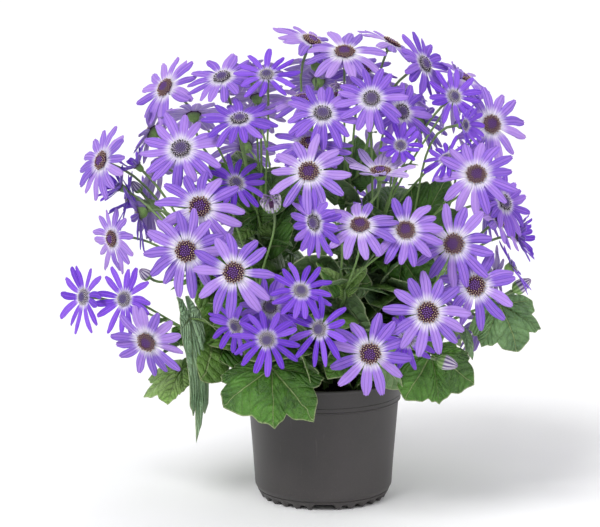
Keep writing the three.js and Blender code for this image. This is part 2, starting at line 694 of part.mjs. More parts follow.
function flowers(heads, fixed, group, space) {
  const things = [...fixed];
  heads.forEach((head, index) => things.push(obstacle(coreTrial(head), index)));
  const crowd = (index) => group.filter((entry) => entry === group[index]).length;
  const order = heads.map((_, index) => index).sort((one, other) => crowd(other) - crowd(one) || one - other);
  const solids = [];
  for (const index of order) {
    const head = heads[index];
    const near = things.filter((thing) => thing.owner !== index && thing.owner !== `group${group[index]}`);
    const bends = Array.from({ length: head.petals }, (_, petal) => bendClear(head, petal, near));
    bends.forEach((bend, petal) => {
      things.push(obstacle(petalTrial(head, petal, bend), `group${group[index]}`));
    });
    solids[index] = flowerHead(head, bends);
  }
  const made = [];
  for (const name of new Set(group)) {
    const members = solids.filter((_, index) => group[index] === name);
    const first = heads[group.indexOf(name)];
    for (const piece of joined(members).decompose()) {
      const touched = fixed.some((thing) => overlapping(obstacle(piece), thing));
      made.push({ solid: touched ? largest(piece.subtract(space)) : piece, colour: first.colour });
    }
  }
  return made;
}

// The whole plant.
const model = new THREE.Group();

function place(name, solid, colour, roughness) {
  const material = new THREE.MeshStandardMaterial({ color: colour, roughness, metalness: 0 });
  const mesh = new THREE.Mesh(toGeometry(solid), material);
  mesh.name = name;
  model.add(mesh);
}

const rows = Object.values(SPRAYS).flat();
const behind = backHeads(rows);
SPRAYS.backLeft = behind.filter(([x]) => x < 0);
SPRAYS.backRight = behind.filter(([x]) => x >= 0);
const sprays = {};
const heads = [];
for (const [name, crowd] of Object.entries(SPRAYS)) {
  sprays[name] = crowd.map((row, index) => readHead(row, heads.length + index));
  heads.push(...sprays[name]);
}

// Stems that cross are fused.
const stems = [];
for (const row of STEMS) {
  let solid = stemParts(row, sprays, heads, 0);
  for (const other of stems.filter((stem) => overlapping(obstacle(stem.solid), obstacle(solid)))) {
    solid = solid.add(other.solid);
    stems.splice(stems.indexOf(other), 1);
  }
  stems.push({ name: row[0], solid });
}
let greenSpace = joined(STEMS.map((row) => stemParts(row, sprays, heads, SWELL)));
const leaves = [];
for (const row of LEAVES) {
  leaves.push({ name: row[0], solid: largest(largeLeaf(row, 0).subtract(greenSpace)) });
  greenSpace = greenSpace.add(largeLeaf(row, SWELL));
}

const feet = STEMS.map(([, heading, radius]) => ({
  spot: onCircle(heading, radius, 0), radius: STEM_RADIUS + HOLE_PLAY,
}));
feet.push(...LEAVES.map(([, joint]) => ({
  spot: leafFoot(new THREE.Vector3(...joint)), radius: PETIOLE_RADIUS + HOLE_PLAY,
})));

place('pot', pot(), 0x4a4646, 0.5);
place('soil', soil(feet), 0x2b211c, 0.95);
stems.forEach(({ name, solid }) => place(name, solid, 0x6f8f4f, 0.6));
leaves.forEach(({ name, solid }) => place(name, solid, 0x3f6f2a, 0.55));

const green = [...stems, ...leaves].map(({ name, solid }) => obstacle(solid, name));
const flowerNodes = MOST_NODES - model.children.length;
const pairs = crossings(heads);
let bunched = [];
for (let most = flowerNodes; most > flowerNodes / 2; most -= 2) {
  bunched = flowers(heads, green, bunches(heads, pairs, most), greenSpace);
  if (bunched.length <= flowerNodes) break;
}
bunched.forEach(({ solid, colour }, index) => {
  place(`flowers_${String(index + 1).padStart(2, '0')}`, solid, colour, 0.6);
});

export default model;
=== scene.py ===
"""The florist cineraria in its nursery pot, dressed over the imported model.

Places and sizes are in millimetres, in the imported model's frame: Z is up, the pot's axis is Z and the pot
stands on z = 0. Headings are degrees round Z, where 0 faces -Y and 90 faces +X. Rises are degrees above
the horizontal. A piece's mesh is made in metres when its points are complete.
"""

from __future__ import annotations

import logging
import math
from collections.abc import Callable, Iterable, Sequence
from dataclasses import dataclass, field
from enum import Enum

import bpy
import numpy as np
from mathutils.bvhtree import BVHTree
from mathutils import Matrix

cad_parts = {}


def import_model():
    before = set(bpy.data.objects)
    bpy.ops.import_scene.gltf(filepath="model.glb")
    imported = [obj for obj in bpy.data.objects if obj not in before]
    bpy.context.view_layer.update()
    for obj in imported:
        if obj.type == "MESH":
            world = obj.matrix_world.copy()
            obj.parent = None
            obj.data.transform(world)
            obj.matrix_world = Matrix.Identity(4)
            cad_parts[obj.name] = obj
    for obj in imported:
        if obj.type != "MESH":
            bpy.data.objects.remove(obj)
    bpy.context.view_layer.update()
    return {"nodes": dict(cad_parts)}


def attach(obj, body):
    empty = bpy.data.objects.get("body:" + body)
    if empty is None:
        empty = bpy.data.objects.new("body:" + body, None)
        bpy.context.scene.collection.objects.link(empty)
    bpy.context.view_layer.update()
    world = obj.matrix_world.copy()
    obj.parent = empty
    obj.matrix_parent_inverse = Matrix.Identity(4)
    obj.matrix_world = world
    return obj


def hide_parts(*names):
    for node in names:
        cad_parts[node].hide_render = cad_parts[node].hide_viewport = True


log = logging.getLogger("cineraria")

Array = np.ndarray
Piece = bpy.types.Object
Socket = bpy.types.NodeSocket

MM = 0.001
BODY = "root"
UP = np.array([0.0, 0.0, 1.0])

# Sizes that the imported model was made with, repeated in millimetres.
POT_HEIGHT = 103.0
POT_RIM_RADIUS = 65.0
POT_NECK_RADIUS = 62.5
POT_WAIST_RADIUS = 57.5
POT_FOOT_RADIUS = 52.0
POT_WALL = 1.6
POT_COLLAR = 19.0
POT_FLOOR = 6.0
PAD_RADIUS = 21.0
FOOT_RISE = 2.4
FOOT_GAP_RISE = 3.4
FEET_ROUND = 28
DRAIN_RADIUS = 4.0
DRAIN_CIRCLE = 36.0
SOIL_EDGE = 91.0
SOIL_CROWN = 95.0
ROOT_TOP = 97.0
ROOT_LENGTH = 18.0
STEM_RADIUS = 2.4
STEM_RUNS = 3
FORK_SHARE = 0.62
FIRST_STALK = 0.6
LAST_STALK = 0.98
STALK_RADIUS = 0.95
HEAD_BERTH = 13.0
CUP_HEIGHT = 7.0
CUP_GAP = 1.0
DISC_RISE = 2.6
PETIOLE_RADIUS = 1.7
PETIOLE_CIRCLE = 43.0
LEAF_TEETH = 9
LEAF_SINUS = 160.0
LEAF_THICKNESS = 0.9
STEM_LEAF = 52.0
GOLDEN_ANGLE = 137.5
FLORET_SIDES = 5

# Where a petal's two furrows run, as a share of the way from its middle to its side.
FURROW_PLACE = 0.33

# The kinds of sockets on node groups.
NUMBER = "NodeSocketFloat"
SHAPE = "NodeSocketGeometry"
NUMBER_KINDS = {float: NUMBER, int: "NodeSocketInt"}


class Age(Enum):
    """How far a flower head has come."""

    MATURE = "mature"
    MIDDLE = "middle"
    YOUNG = "young"
    OPENING = "opening"
    CUPPED = "cupped"


@dataclass(frozen=True)
class Bloom:
    """What a flower head looks like at one age.

    Shares are of the head's reach, except that of the open ring, which is of the disc. Pitch and curl are
    degrees. Tone is 0 for lavender, 1 or more for the deepest violet and below 0 for the palest heads.
    """

    petals: tuple[int, int]
    half_width: float
    pitch: float
    curl: float
    disc: float
    open_ring: float
    tone: float


BLOOMS = {
    Age.MATURE: Bloom((12, 14), 0.118, 3, 16, 0.225, 0.52, 0.0),
    Age.MIDDLE: Bloom((14, 16), 0.114, 5, 10, 0.21, 0.8, 0.42),
    Age.YOUNG: Bloom((12, 14), 0.096, 9, 4, 0.212, 1.1, 1.0),
    Age.OPENING: Bloom((13, 15), 0.1, 34, -12, 0.23, 1.1, 1.15),
    Age.CUPPED: Bloom((9, 10), 0.155, 24, -6, 0.25, 0.5, -0.7),
}

# Each spray has the head's place x, y, z, its heading and rise, its reach and its age.
SPRAYS: dict[str, list[tuple]] = {
    "leftTop": [
        (-129, -10, 343, -50, 30, 33, "mature"), (-82, -35, 354, -25, 55, 31, "middle"),
        (-46, -55, 358, -5, 50, 27, "young"), (-61, 25, 349, -165, 50, 30, "mature"),
        (-55, -5, 336, -165, 55, 27, "mature"), (-67, -75, 325, -10, 60, 31, "middle"),
        (-113, -80, 302, -10, 35, 34, "middle"), (-142, 0, 306, -110, 25, 30, "mature"),
        (-105, -35, 325, -170, 60, 30, "mature"),
    ],
    "leftMiddle": [
        (-180, -30, 286, -55, 20, 32, "mature"), (-152, -25, 282, -85, 45, 18, "opening"),
        (-166, -30, 265, -70, 30, 20, "opening"), (-151, -25, 242, -90, -15, 32, "young"),
        (-161, -5, 252, -85, 10, 25, "young"), (-172, -35, 223, -50, 0, 28, "mature"),
    ],
    "leftLow": [
        (-196, -35, 175, -50, 10, 30, "young"), (-161, -60, 178, -30, 15, 28, "young"),
        (-142, -75, 146, -25, -15, 33, "mature"),
    ],
    "frontLeft": [
        (-97, -115, 261, -5, 25, 35, "mature"), (-107, -130, 229, -15, 5, 35, "mature"),
        (-70, -150, 216, -5, 10, 34, "mature"), (-70, -72, 274, 20, 35, 26, "young"),
    ],
    "front": [
        (-13, -125, 290, -10, 30, 33, "mature"), (-12, -95, 308, 0, 65, 34, "mature"),
        (-2, -90, 331, 5, 45, 31, "middle"), (-17, -55, 338, -10, 70, 32, "mature"),
        (43, -95, 286, -5, 75, 31, "cupped"),
    ],
    "top": [
        (16, -35, 374, 0, 60, 34, "mature"), (31, -5, 358, 25, 70, 33, "mature"),
        (-10, -10, 381, 55, 60, 33, "mature"), (55, -5, 379, 85, 60, 31, "mature"),
        (81, -20, 363, 55, 25, 30, "middle"),
    ],
    "rightTop": [
        (36, -85, 342, 0, 30, 29, "middle"), (61, -60, 329, 30, 20, 28, "middle"),
        (59, -85, 305, 0, 30, 20, "opening"), (103, -50, 340, 25, 25, 25, "young"),
        (101, -25, 335, -115, 10, 29, "mature"), (113, -15, 352, 60, 60, 27, "mature"),
    ],
    "right": [
        (134, -35, 316, 20, 15, 32, "mature"), (111, -60, 318, 50, 5, 20, "opening"),
        (95, -75, 294, -50, 45, 22, "young"), (118, -90, 283, 0, 30, 33, "mature"),
    ],
    "frontRight": [
        (-9, -135, 252, -45, -5, 28, "middle"), (26, -140, 251, -5, 50, 31, "mature"),
        (61, -140, 247, 0, 25, 30, "mature"),
    ],
    "rightMiddle": [
        (99, -120, 233, -15, 10, 34, "mature"), (137, -75, 245, 80, 40, 29, "mature"),
        (143, -65, 257, 45, 20, 29, "middle"), (157, -40, 226, 75, 5, 22, "opening"),
        (151, -60, 205, 90, 30, 25, "young"), (116, -125, 201, -20, 15, 33, "mature"),
    ],
    "rightLow": [
        (78, -145, 184, 5, 10, 34, "mature"), (34, -150, 153, 0, 0, 34, "mature"),
        (-5, -150, 172, -30, 10, 28, "young"), (64, -118, 157, 0, 35, 25, "young"),
    ],
    "frontLow": [
        (-45, -150, 164, 0, -10, 28, "young"), (-19, -145, 201, 10, 35, 26, "young"),
        (-43, -118, 183, 10, 25, 26, "middle"), (-70, -120, 168, -35, -15, 26, "young"),
    ],
}

# Buds: the spray that bears each, its place x, y, z, its heading and rise, its radius and its form.
BUDS = [
    ("leftMiddle", -146, -45, 197, -60, 40, 4.2, "shut"),
    ("leftMiddle", -154, -15, 264, -70, 50, 3.5, "shut"),
    ("frontLeft", -42, -95, 261, -20, 55, 5.0, "curled"), ("top", 11, -60, 344, 10, 70, 5.0, "curled"),
    ("rightMiddle", 159, -45, 186, 85, 35, 5.0, "striped"),
    ("rightLow", 96, -97, 134, 80, -15, 5.0, "striped"),
]

# Stems: where each stands in the soil, as a heading and a radius, and the sprays that it carries.
STEMS = {
    "left_top": (-80, 22, ("leftTop",)),
    "left": (-95, 32, ("leftMiddle", "leftLow")),
    "front_left": (-35, 27, ("frontLeft", "frontLow")),
    "front": (5, 17, ("front", "frontRight")),
    "top": (90, 5, ("top",)),
    "right_top": (60, 20, ("rightTop", "right")),
    "right": (60, 34, ("rightMiddle", "rightLow")),
    "back": (180, 22, ("backLeft", "backRight")),
}

# Heads on the back of the plant: a golden-angle walk down the dome, with a mate beside each of them.
DOME_CENTRE = np.array([-8.0, 0.0, 205.0])
DOME_SIZE = np.array([158.0, 130.0, 163.0])
BACK_WALK = 96
BACK_SPACING = 56.0
BACK_FRONT = -20.0
MATE_DISTANCE = 38.0
MATE_SPACING = 42.0
MATE_LEAN = 0.55
BACK_LOWEST = 135.0
BACK_AGES = ("mature", "middle", "mature", "young")

# Leaves that show among the flowers: the spray whose stem bears each, the share of the way up, heading,
# rise, roll, length, width as a share of it, teeth and greyness, which is below 0 for a fresh light green.
SHOWN_LEAVES = [
    ("right", 0.98, 88, 57, 74, 58, 0.56, 7, 0.0),
    ("right", 0.8, 60, -40, 60, 38, 0.6, 5, 0.1),
    ("frontRight", 0.97, -75, 46, -62, 27, 0.42, 3, -1.0),
    ("frontRight", 0.99, 75, 50, 62, 25, 0.42, 3, -1.0),
    ("front", 0.66, 62, 12, 62, 40, 0.7, 5, -0.2),
    ("front", 0.5, 80, 4, 72, 58, 0.72, 5, 0.0),
    ("front", 0.55, -80, 0, -72, 52, 0.72, 5, 0.1),
    ("frontLeft", 0.8, -72, -10, -68, 44, 0.62, 5, 0.0),
    ("rightLow", 0.9, -58, -14, -25, 34, 0.66, 5, -0.2),
    ("leftTop", 0.97, -80, -40, -72, 26, 0.46, 3, -0.7),
    ("leftTop", 0.95, 82, -28, 72, 28, 0.42, 3, -0.6),
    ("leftTop", 1.0, -82, 50, -72, 54, 0.52, 5, 0.0),
    ("leftTop", 0.8, 60, 58, 66, 46, 0.5, 5, 0.1),
    ("backLeft", 0.95, -62, 60, -70, 58, 0.6, 5, 0.2),
    ("backLeft", 1.0, 60, 62, 70, 52, 0.6, 5, 0.2),
    ("backLeft", 1.0, 160, 68, 0, 62, 0.66, 7, -0.1),
    ("leftTop", 1.0, -150, 66, 0, 56, 0.62, 7, 0.0),
    ("leftTop", 1.0, 150, 52, 10, 48, 0.6, 5, -0.3),
    ("top", 1.0, 170, 60, 0, 44, 0.6, 5, 0.1),
    ("leftMiddle", 0.98, -150, 60, 0, 46, 0.6, 5, -0.2),
    ("rightTop", 1.0, 165, 40, 0, 40, 0.6, 5, 0.1),
    ("leftLow", 0.9, -60, 20, -55, 30, 0.5, 3, 0.0),
]

# Large leaves: place of the petiole's joint, heading, rise, roll, length, width and greyness.
LEAVES = {
    "front_left": ((-42, -84, 126), -8, -48, 0, 46, 50, 0.0),
    "front_right": ((85, -72, 135), 30, -58, 15, 38, 40, 0.0),
    "right": ((143, -30, 167), 48, -56, 30, 40, 35, 0.4),
    "left_hanging": ((-109, -48, 160), 50, -70, 0, 92, 16, 1.0),
    "left_low": ((-116, -30, 113), -82, -24, -18, 36, 32, -1.0),
    "right_low": ((113, -40, 148), 60, -55, 0, 24, 10, 0.5),
    "back_left": ((-72, 66, 132), -142, -16, 0, 62, 48, 0.1),
    "back": ((2, 88, 124), 178, -30, 0, 62, 48, 0.3),
    "back_right": ((76, 62, 140), 130, -14, 0, 62, 48, 0.1),
}


# Vectors and curves.
def direction(heading: float, rise: float) -> Array:
    """The unit vector of a heading and a rise, both in degrees."""
    turn, lift = math.radians(heading), math.radians(rise)
    flat = math.cos(lift)
    return np.array([math.sin(turn) * flat, -math.cos(turn) * flat, math.sin(lift)])


def unit(vector: Array) -> Array:
    """The vector at length one."""
    return vector / np.linalg.norm(vector, axis=-1, keepdims=True)


def turned(vector: Array, axis: Array, degrees: float) -> Array:
    """The vector turned about a unit axis."""
    angle = math.radians(degrees)
    return (
        vector * math.cos(angle)
        + np.cross(axis, vector) * math.sin(angle)
        + axis * np.dot(axis, vector) * (1 - math.cos(angle))
    )


def heading_of(vector: Array) -> float:
    """The heading of a vector, in degrees."""
    return math.degrees(math.atan2(vector[0], -vector[1]))


def nearest_whole(value: float) -> int:
    """The nearest whole number, halves going up."""
    return math.floor(value + 0.5)


def smooth(value: Array | float, low: float, high: float) -> Array:
    """A smooth step from 0 at low to 1 at high."""
    share = np.clip((np.asarray(value) - low) / (high - low), 0.0, 1.0)
    return share * share * (3 - 2 * share)


class Curve:
    """A cubic Bezier curve that is read by the share of its length."""

    SAMPLES = 200

    def __init__(self, *controls: Array) -> None:
        """Measures the curve.

        Args:
            controls: The four control points, in millimetres.
        """
        self.controls = np.array(controls, float)
        self.steps = np.linspace(0, 1, self.SAMPLES + 1)
        gaps = np.linalg.norm(np.diff(self.at(self.steps), axis=0), axis=1)
        self.lengths = np.concatenate([[0.0], np.cumsum(gaps)])

    def at(self, steps: Array | float) -> Array:
        """Points of the curve at its own parameter.

        Args:
            steps: Parameters from 0 to 1.

        Returns:
            One point for each parameter.
        """
        steps = np.asarray(steps, float)[..., None]
        first, second, third, fourth = self.controls
        rest = 1 - steps
        return (
            rest**3 * first + 3 * rest**2 * steps * second
            + 3 * rest * steps**2 * third + steps**3 * fourth
        )

    def along(self, shares: Array | float) -> Array:
        """Points at shares of the curve's length."""
        return self.at(np.interp(np.asarray(shares) * self.lengths[-1], self.lengths, self.steps))

    def tangent(self, share: float) -> Array:
        """The curve's direction at a share of its length."""
        near = 1e-4
        return unit(self.along(min(share + near, 1.0)) - self.along(max(share - near, 0.0)))

    def on_runs(self, runs: int, share: float) -> Array:
        """A point on the straight runs that join evenly spaced points of the curve.

        Args:
            runs: How many straight runs there are.
            share: The share of the way along them.

        Returns:
            The point.
        """
        run = min(math.floor(share * runs), runs - 1)
        start, end = self.along(run / runs), self.along((run + 1) / runs)
        return start + (end - start) * (share * runs - run)


# Meshes.
def round_angles(count: int) -> Array:
    """Evenly spaced angles once round, in radians."""
    return np.arange(count) * 2 * math.pi / count


def pairs(first: Array, second: Array) -> Array:
    """A grid of pairs of the numbers in two rows."""
    return np.stack(np.meshgrid(first, second, indexing="ij"), -1)


def grid_faces(rows: int, columns: int) -> list[list[int]]:
    """The quads of a grid of rows by columns of points."""
    index = np.arange(rows * columns).reshape(rows, columns)
    quads = np.stack([index[:-1, :-1], index[1:, :-1], index[1:, 1:], index[:-1, 1:]], -1)
    return quads.reshape(-1, 4).tolist()


def ring_faces(count: int, sides: int) -> list[list[int]]:
    """The quads that join rings of points."""
    index = np.arange(count * sides).reshape(count, sides)
    after = np.roll(index, -1, axis=1)
    return np.stack([index[:-1], after[:-1], after[1:], index[1:]], -1).reshape(-1, 4).tolist()


def into_scene(name: str, data: bpy.types.ID) -> Piece:
    """A new object of a mesh, a light or a camera, in the scene."""
    made = bpy.data.objects.new(name, data)
    bpy.context.scene.collection.objects.link(made)
    return made


def after_modifiers(piece: Piece) -> bpy.types.Mesh:
    """A piece's mesh as its modifiers leave it."""
    bpy.context.view_layer.update()
    graph = bpy.context.evaluated_depsgraph_get()
    return bpy.data.meshes.new_from_object(piece.evaluated_get(graph))


@dataclass
class Shell:
    """Gathers closed skins into one mesh, with a UV map and point attributes."""

    points: list[Array] = field(default_factory=list)
    maps: list[Array] = field(default_factory=list)
    faces: list[list[int]] = field(default_factory=list)
    slots: list[int] = field(default_factory=list)
    values: dict[str, list[Array]] = field(default_factory=dict)
    count: int = 0

    def add(
        self,
        points: Array,
        faces: Array | Sequence[Sequence[int]],
        maps: Array | None = None,
        slot: int = 0,
        **values: float | Array,
    ) -> None:
        """Adds one skin.

        Args:
            points: Its points, in millimetres.
            faces: Its faces, as rows of indices of its own points.
            maps: The points' places on the UV map.
            slot: Its material slot.
            **values: Point attributes, each one number or one number for each point.
        """
        points = np.asarray(points, float).reshape(-1, 3)
        rows = faces.tolist() if isinstance(faces, Array) else faces
        self.faces.extend([corner + self.count for corner in row] for row in rows)
        self.slots.extend([slot] * len(rows))
        self.points.append(points)
        self.maps.append(np.zeros((len(points), 2)) if maps is None else np.asarray(maps).reshape(-1, 2))
        for name, value in values.items():
            known = self.values.setdefault(name, [np.zeros(self.count)] if self.count else [])
            known.append(np.broadcast_to(np.asarray(value, float).reshape(-1), (len(points),)))
        for name, known in self.values.items():
            if name not in values:
                known.append(np.zeros(len(points)))
        self.count += len(points)

    def sheet(
        self,
        top: Array,
        thickness: float,
        maps: Array,
        slot: int = 0,
        **values: float | Array,
    ) -> None:
        """Adds a thin closed sheet under a grid of points.

        Args:
            top: The grid, whose rows run along and whose columns run to the left of that way.
            thickness: How thick the sheet is.
            maps: The grid's places on the UV map.
            slot: Its material slot.
            **values: Point attributes. The under side also has the attribute back.
        """
        rows, columns = top.shape[:2]
        ways = np.gradient(top, axis=0), np.gradient(top, axis=1)
        normals = np.cross(*ways)
        normals /= np.maximum(np.linalg.norm(normals, axis=-1, keepdims=True), 1e-9)
        low = top - normals * thickness
        index = np.arange(rows * columns).reshape(rows, columns)
        quads = np.array(grid_faces(rows, columns))
        rim = np.concatenate([index[:, 0], index[-1, 1:], index[-2::-1, -1], index[0, -2:0:-1]])
        after = np.roll(rim, -1)
        below = rows * columns
        sides = np.stack([rim, rim + below, after + below, after], -1)
        faces = np.concatenate([quads, quads[:, ::-1] + below, sides])
        doubled = {
            name: np.tile(np.broadcast_to(np.asarray(value, float), top.shape[:2]).reshape(-1), 2)
            for name, value in values.items()
        }
        back = np.repeat([0.0, 1.0], below)
        points = np.concatenate([top.reshape(-1, 3), low.reshape(-1, 3)])
        both = np.tile(maps.reshape(-1, 2), (2, 1))
        self.add(points, faces, both, slot, back=back, **doubled)

    def tube(
        self,
        centres: Array,
        radii: Array,
        sides: int,
        slot: int = 0,
        ribs: int = 0,
        rib_depth: float = 0.0,
        **values: float | Array,
    ) -> None:
        """Adds a closed round tube along points.

        Args:
            centres: The points, in order.
            radii: The tube's radius at each.
            sides: How many sides it has.
            slot: Its material slot.
            ribs: How many lengthwise ribs it has.
            rib_depth: Their depth as a share of the radius.
            **values: Point attributes, each one number or one for each ring.
        """
        tangents = unit(np.gradient(centres, axis=0))
        start = np.cross(UP, tangents[0])
        if np.linalg.norm(start) < 1e-3:
            start = np.array([1.0, 0.0, 0.0])
        normal = unit(start)
        angles = round_angles(sides)
        swell = 1 + rib_depth * np.cos(angles * ribs) if ribs else np.ones(sides)
        rings = []
        for centre, tangent, radius in zip(centres, tangents, radii, strict=True):
            normal = unit(normal - tangent * np.dot(normal, tangent))
            binormal = np.cross(tangent, normal)
            spokes = np.outer(np.cos(angles), normal) + np.outer(np.sin(angles), binormal)
            rings.append(centre + spokes * (radius * swell)[:, None])
        lengths = np.concatenate([[0.0], np.cumsum(np.linalg.norm(np.diff(centres, axis=0), axis=1))])
        around = 1 - np.abs(2 * np.arange(sides) / sides - 1)
        maps = pairs(lengths / 10, around)
        grown = {
            name: np.repeat(np.broadcast_to(np.asarray(value, float), (len(centres),)), sides)
            for name, value in values.items()
        }
        self.rings(np.array(rings), maps, slot, **grown)

    def rings(
        self, rings: Array, maps: Array | None = None, slot: int = 0,
        **values: float | Array,
    ) -> None:
        """Adds a closed skin over rings that run anticlockwise about the way they travel.

        Args:
            rings: One row of points for each ring.
            maps: Their places on the UV map.
            slot: Its material slot.
            **values: Point attributes, each one number or one for each point.
        """
        count, sides = rings.shape[:2]
        index = np.arange(count * sides).reshape(count, sides)
        caps = [index[0, ::-1].tolist(), index[-1].tolist()]
        self.add(rings, ring_faces(count, sides) + caps, maps, slot, **values)

    def make(self, name: str, finishes: Sequence[bpy.types.Material]) -> Piece:
        """Makes the mesh object, in metres, with smooth faces.

        Args:
            name: The object's name.
            finishes: Its materials, in the order of the slots.

        Returns:
            The object.
        """
        mesh = bpy.data.meshes.new(name)
        mesh.from_pydata(np.concatenate(self.points) * MM, [], self.faces)
        corners = np.zeros(len(mesh.loops), np.int32)
        mesh.loops.foreach_get("vertex_index", corners)
        layer = mesh.uv_layers.new(name="UVMap")
        layer.uv.foreach_set("vector", np.concatenate(self.maps)[corners].astype(np.float32).ravel())
        for key, parts in self.values.items():
            attribute = mesh.attributes.new(name=key, type="FLOAT", domain="POINT")
            attribute.data.foreach_set("value", np.concatenate(parts).astype(np.float32))
        for finish in finishes:
            mesh.materials.append(finish)
        mesh.polygons.foreach_set("material_index", np.array(self.slots, np.int32))
        mesh.polygons.foreach_set("use_smooth", np.ones(len(mesh.polygons), bool))
        mesh.update()
        return into_scene(name, mesh)


def turned_rings(profile: Sequence[tuple[float, float]], sides: int) -> Array:
    """Rings of a profile of radius and height turned about Z."""
    angles = round_angles(sides)
    radii, heights = np.array(profile, float).T
    return np.stack([
        np.outer(radii, np.cos(angles)), np.outer(radii, np.sin(angles)),
        np.repeat(heights[:, None], sides, axis=1),
    ], -1)


def enter(piece: Piece, slot: str, *nodes: str) -> Piece:
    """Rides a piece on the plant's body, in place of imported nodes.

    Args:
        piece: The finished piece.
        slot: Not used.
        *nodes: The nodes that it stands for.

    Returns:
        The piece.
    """
    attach(piece, BODY)
    if nodes:
        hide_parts(*nodes)
    log.info("%s: %d faces", piece.name, len(piece.data.polygons))
    return piece


# Node trees.
def colour(code: int) -> tuple[float, float, float, float]:
    """A screen colour such as 0x9d7de8 as linear light."""
    parts = [((code >> shift) & 255) / 255 for shift in (16, 8, 0)]
    linear = [part / 12.92 if part <= 0.04045 else ((part + 0.055) / 1.055) ** 2.4 for part in parts]
    return (*linear, 1.0)


@dataclass
class Sheet:
    """A node tree being drawn up, with short calls for its nodes."""

    tree: bpy.types.NodeTree

    def add(self, kind: str, inputs: dict | None = None, **settings: object) -> bpy.types.Node:
        """Adds a node.

        Args:
            kind: The node's type.
            inputs: Sockets to link from, or plain values, by input name or number.
            **settings: The node's own settings.

        Returns:
            The node.
        """
        node = self.tree.nodes.new(kind)
        for name, value in settings.items():
            setattr(node, name, value)
        for key, value in (inputs or {}).items():
            self.put(node.inputs[key], value)
        return node

    def put(self, socket: Socket, value: object) -> None:
        """Links a socket to an output, or sets its plain value."""
        if isinstance(value, Socket):
            self.tree.links.new(value, socket)
        elif value is not None:
            socket.default_value = value

    def sum(self, work: str, *values: object, clamp: bool = False) -> Socket:
        """The output of one Math node."""
        node = self.add("ShaderNodeMath", dict(enumerate(values)), operation=work, use_clamp=clamp)
        return node.outputs[0]

    def times(self, first: object, second: object) -> Socket:
        """The product of two values."""
        return self.sum("MULTIPLY", first, second)

    def plus(self, first: object, second: object, clamp: bool = False) -> Socket:
        """The sum of two values, kept between 0 and 1 where it is clamped."""
        return self.sum("ADD", first, second, clamp=clamp)

    def step(
        self, value: object, low: object, high: object, first: object = 0.0, last: object = 1.0
    ) -> Socket:
        """A smooth step of a value from first at low to last at high."""
        inputs = {"Value": value, "From Min": low, "From Max": high, "To Min": first, "To Max": last}
        return self.add("ShaderNodeMapRange", inputs, interpolation_type="SMOOTHSTEP").outputs[0]

    def mix(self, share: object, first: object, last: object) -> Socket:
        """The mix of two colours, each a socket or a screen colour's code."""
        ends = [colour(end) if isinstance(end, int) else end for end in (first, last)]
        node = self.add("ShaderNodeMix", {0: share, 6: ends[0], 7: ends[1]}, data_type="RGBA")
        return node.outputs[2]

    def tint(self, body: object, mask: object, share: object, code: int) -> Socket:
        """A colour with another laid over it: where a mask says, and by a share."""
        return self.mix(self.times(mask, share), body, code)

    def noise(self, vector: object, scale: float, detail: float = 3.0) -> Socket:
        """The value of a noise texture."""
        inputs = {"Vector": vector, "Scale": scale, "Detail": detail}
        return self.add("ShaderNodeTexNoise", inputs).outputs[0]

    def attribute(self, name: str) -> Socket:
        """The value of a point attribute."""
        return self.add("ShaderNodeAttribute", attribute_name=name).outputs["Fac"]

    def map_axes(self) -> tuple[Socket, Socket]:
        """The two axes of the piece's own UV map."""
        place = self.add("ShaderNodeUVMap", uv_map="UVMap").outputs[0]
        axes = self.add("ShaderNodeSeparateXYZ", {0: place})
        return axes.outputs[0], axes.outputs[1]

    def place(self) -> Socket:
        """Object coordinates."""
        return self.add("ShaderNodeTexCoord").outputs["Object"]

    def named(self, name: str, kind: str = "FLOAT") -> Socket:
        """A point attribute, in Geometry Nodes."""
        return self.add("GeometryNodeInputNamedAttribute", {"Name": name}, data_type=kind).outputs[0]

    def over_half(self, value: object) -> Socket:
        """Whether a value is above one half."""
        inputs = {0: value, 1: 0.5}
        return self.add(
            "FunctionNodeCompare", inputs, data_type="FLOAT", operation="GREATER_THAN").outputs[0]

    def chance(self, low: object, high: object, seed: object) -> Socket:
        """A random number between two numbers, or a vector between two vectors."""
        first, output, kind = (0, 0, "FLOAT_VECTOR") if isinstance(low, tuple) else (2, 1, "FLOAT")
        inputs = {first: low, first + 1: high, "Seed": seed}
        return self.add("FunctionNodeRandomValue", inputs, data_type=kind).outputs[output]


def new_group(name: str, kind: str, inputs: dict[str, float | str], outputs: dict[str, str]) -> Sheet:
    """Starts a node group with named sockets.

    Args:
        name: The group's name.
        kind: The tree's type.
        inputs: Starting numbers by name, or the socket's type where it has none.
        outputs: Socket types by name.

    Returns:
        The sheet to draw it on.
    """
    tree = bpy.data.node_groups.new(name, kind)
    for title, value in inputs.items():
        number = NUMBER_KINDS.get(type(value))
        socket = tree.interface.new_socket(name=title, in_out="INPUT", socket_type=number or value)
        if number:
            socket.default_value = value
    for title, socket_type in outputs.items():
        tree.interface.new_socket(name=title, in_out="OUTPUT", socket_type=socket_type)
    return Sheet(tree)


def mottle_group() -> bpy.types.NodeTree:
    """The shared effect of uneven growth or dirt: a soft mask in patches and specks."""
    inputs = {"Patches": 60.0, "Specks": 900.0, "Speck Share": 0.3}
    sheet = new_group("Mottle", "ShaderNodeTree", inputs, {"Mask": NUMBER})
    start = sheet.add("NodeGroupInput").outputs
    place = sheet.place()
    wide = sheet.noise(place, start["Patches"], 4)
    fine = sheet.noise(place, start["Specks"], 2)
    blend = sheet.add("ShaderNodeMix", {0: start["Speck Share"], 2: wide, 3: fine})
    mask = sheet.step(blend.outputs[0], 0.36, 0.64)
    sheet.add("NodeGroupOutput", {"Mask": mask})
    return sheet.tree


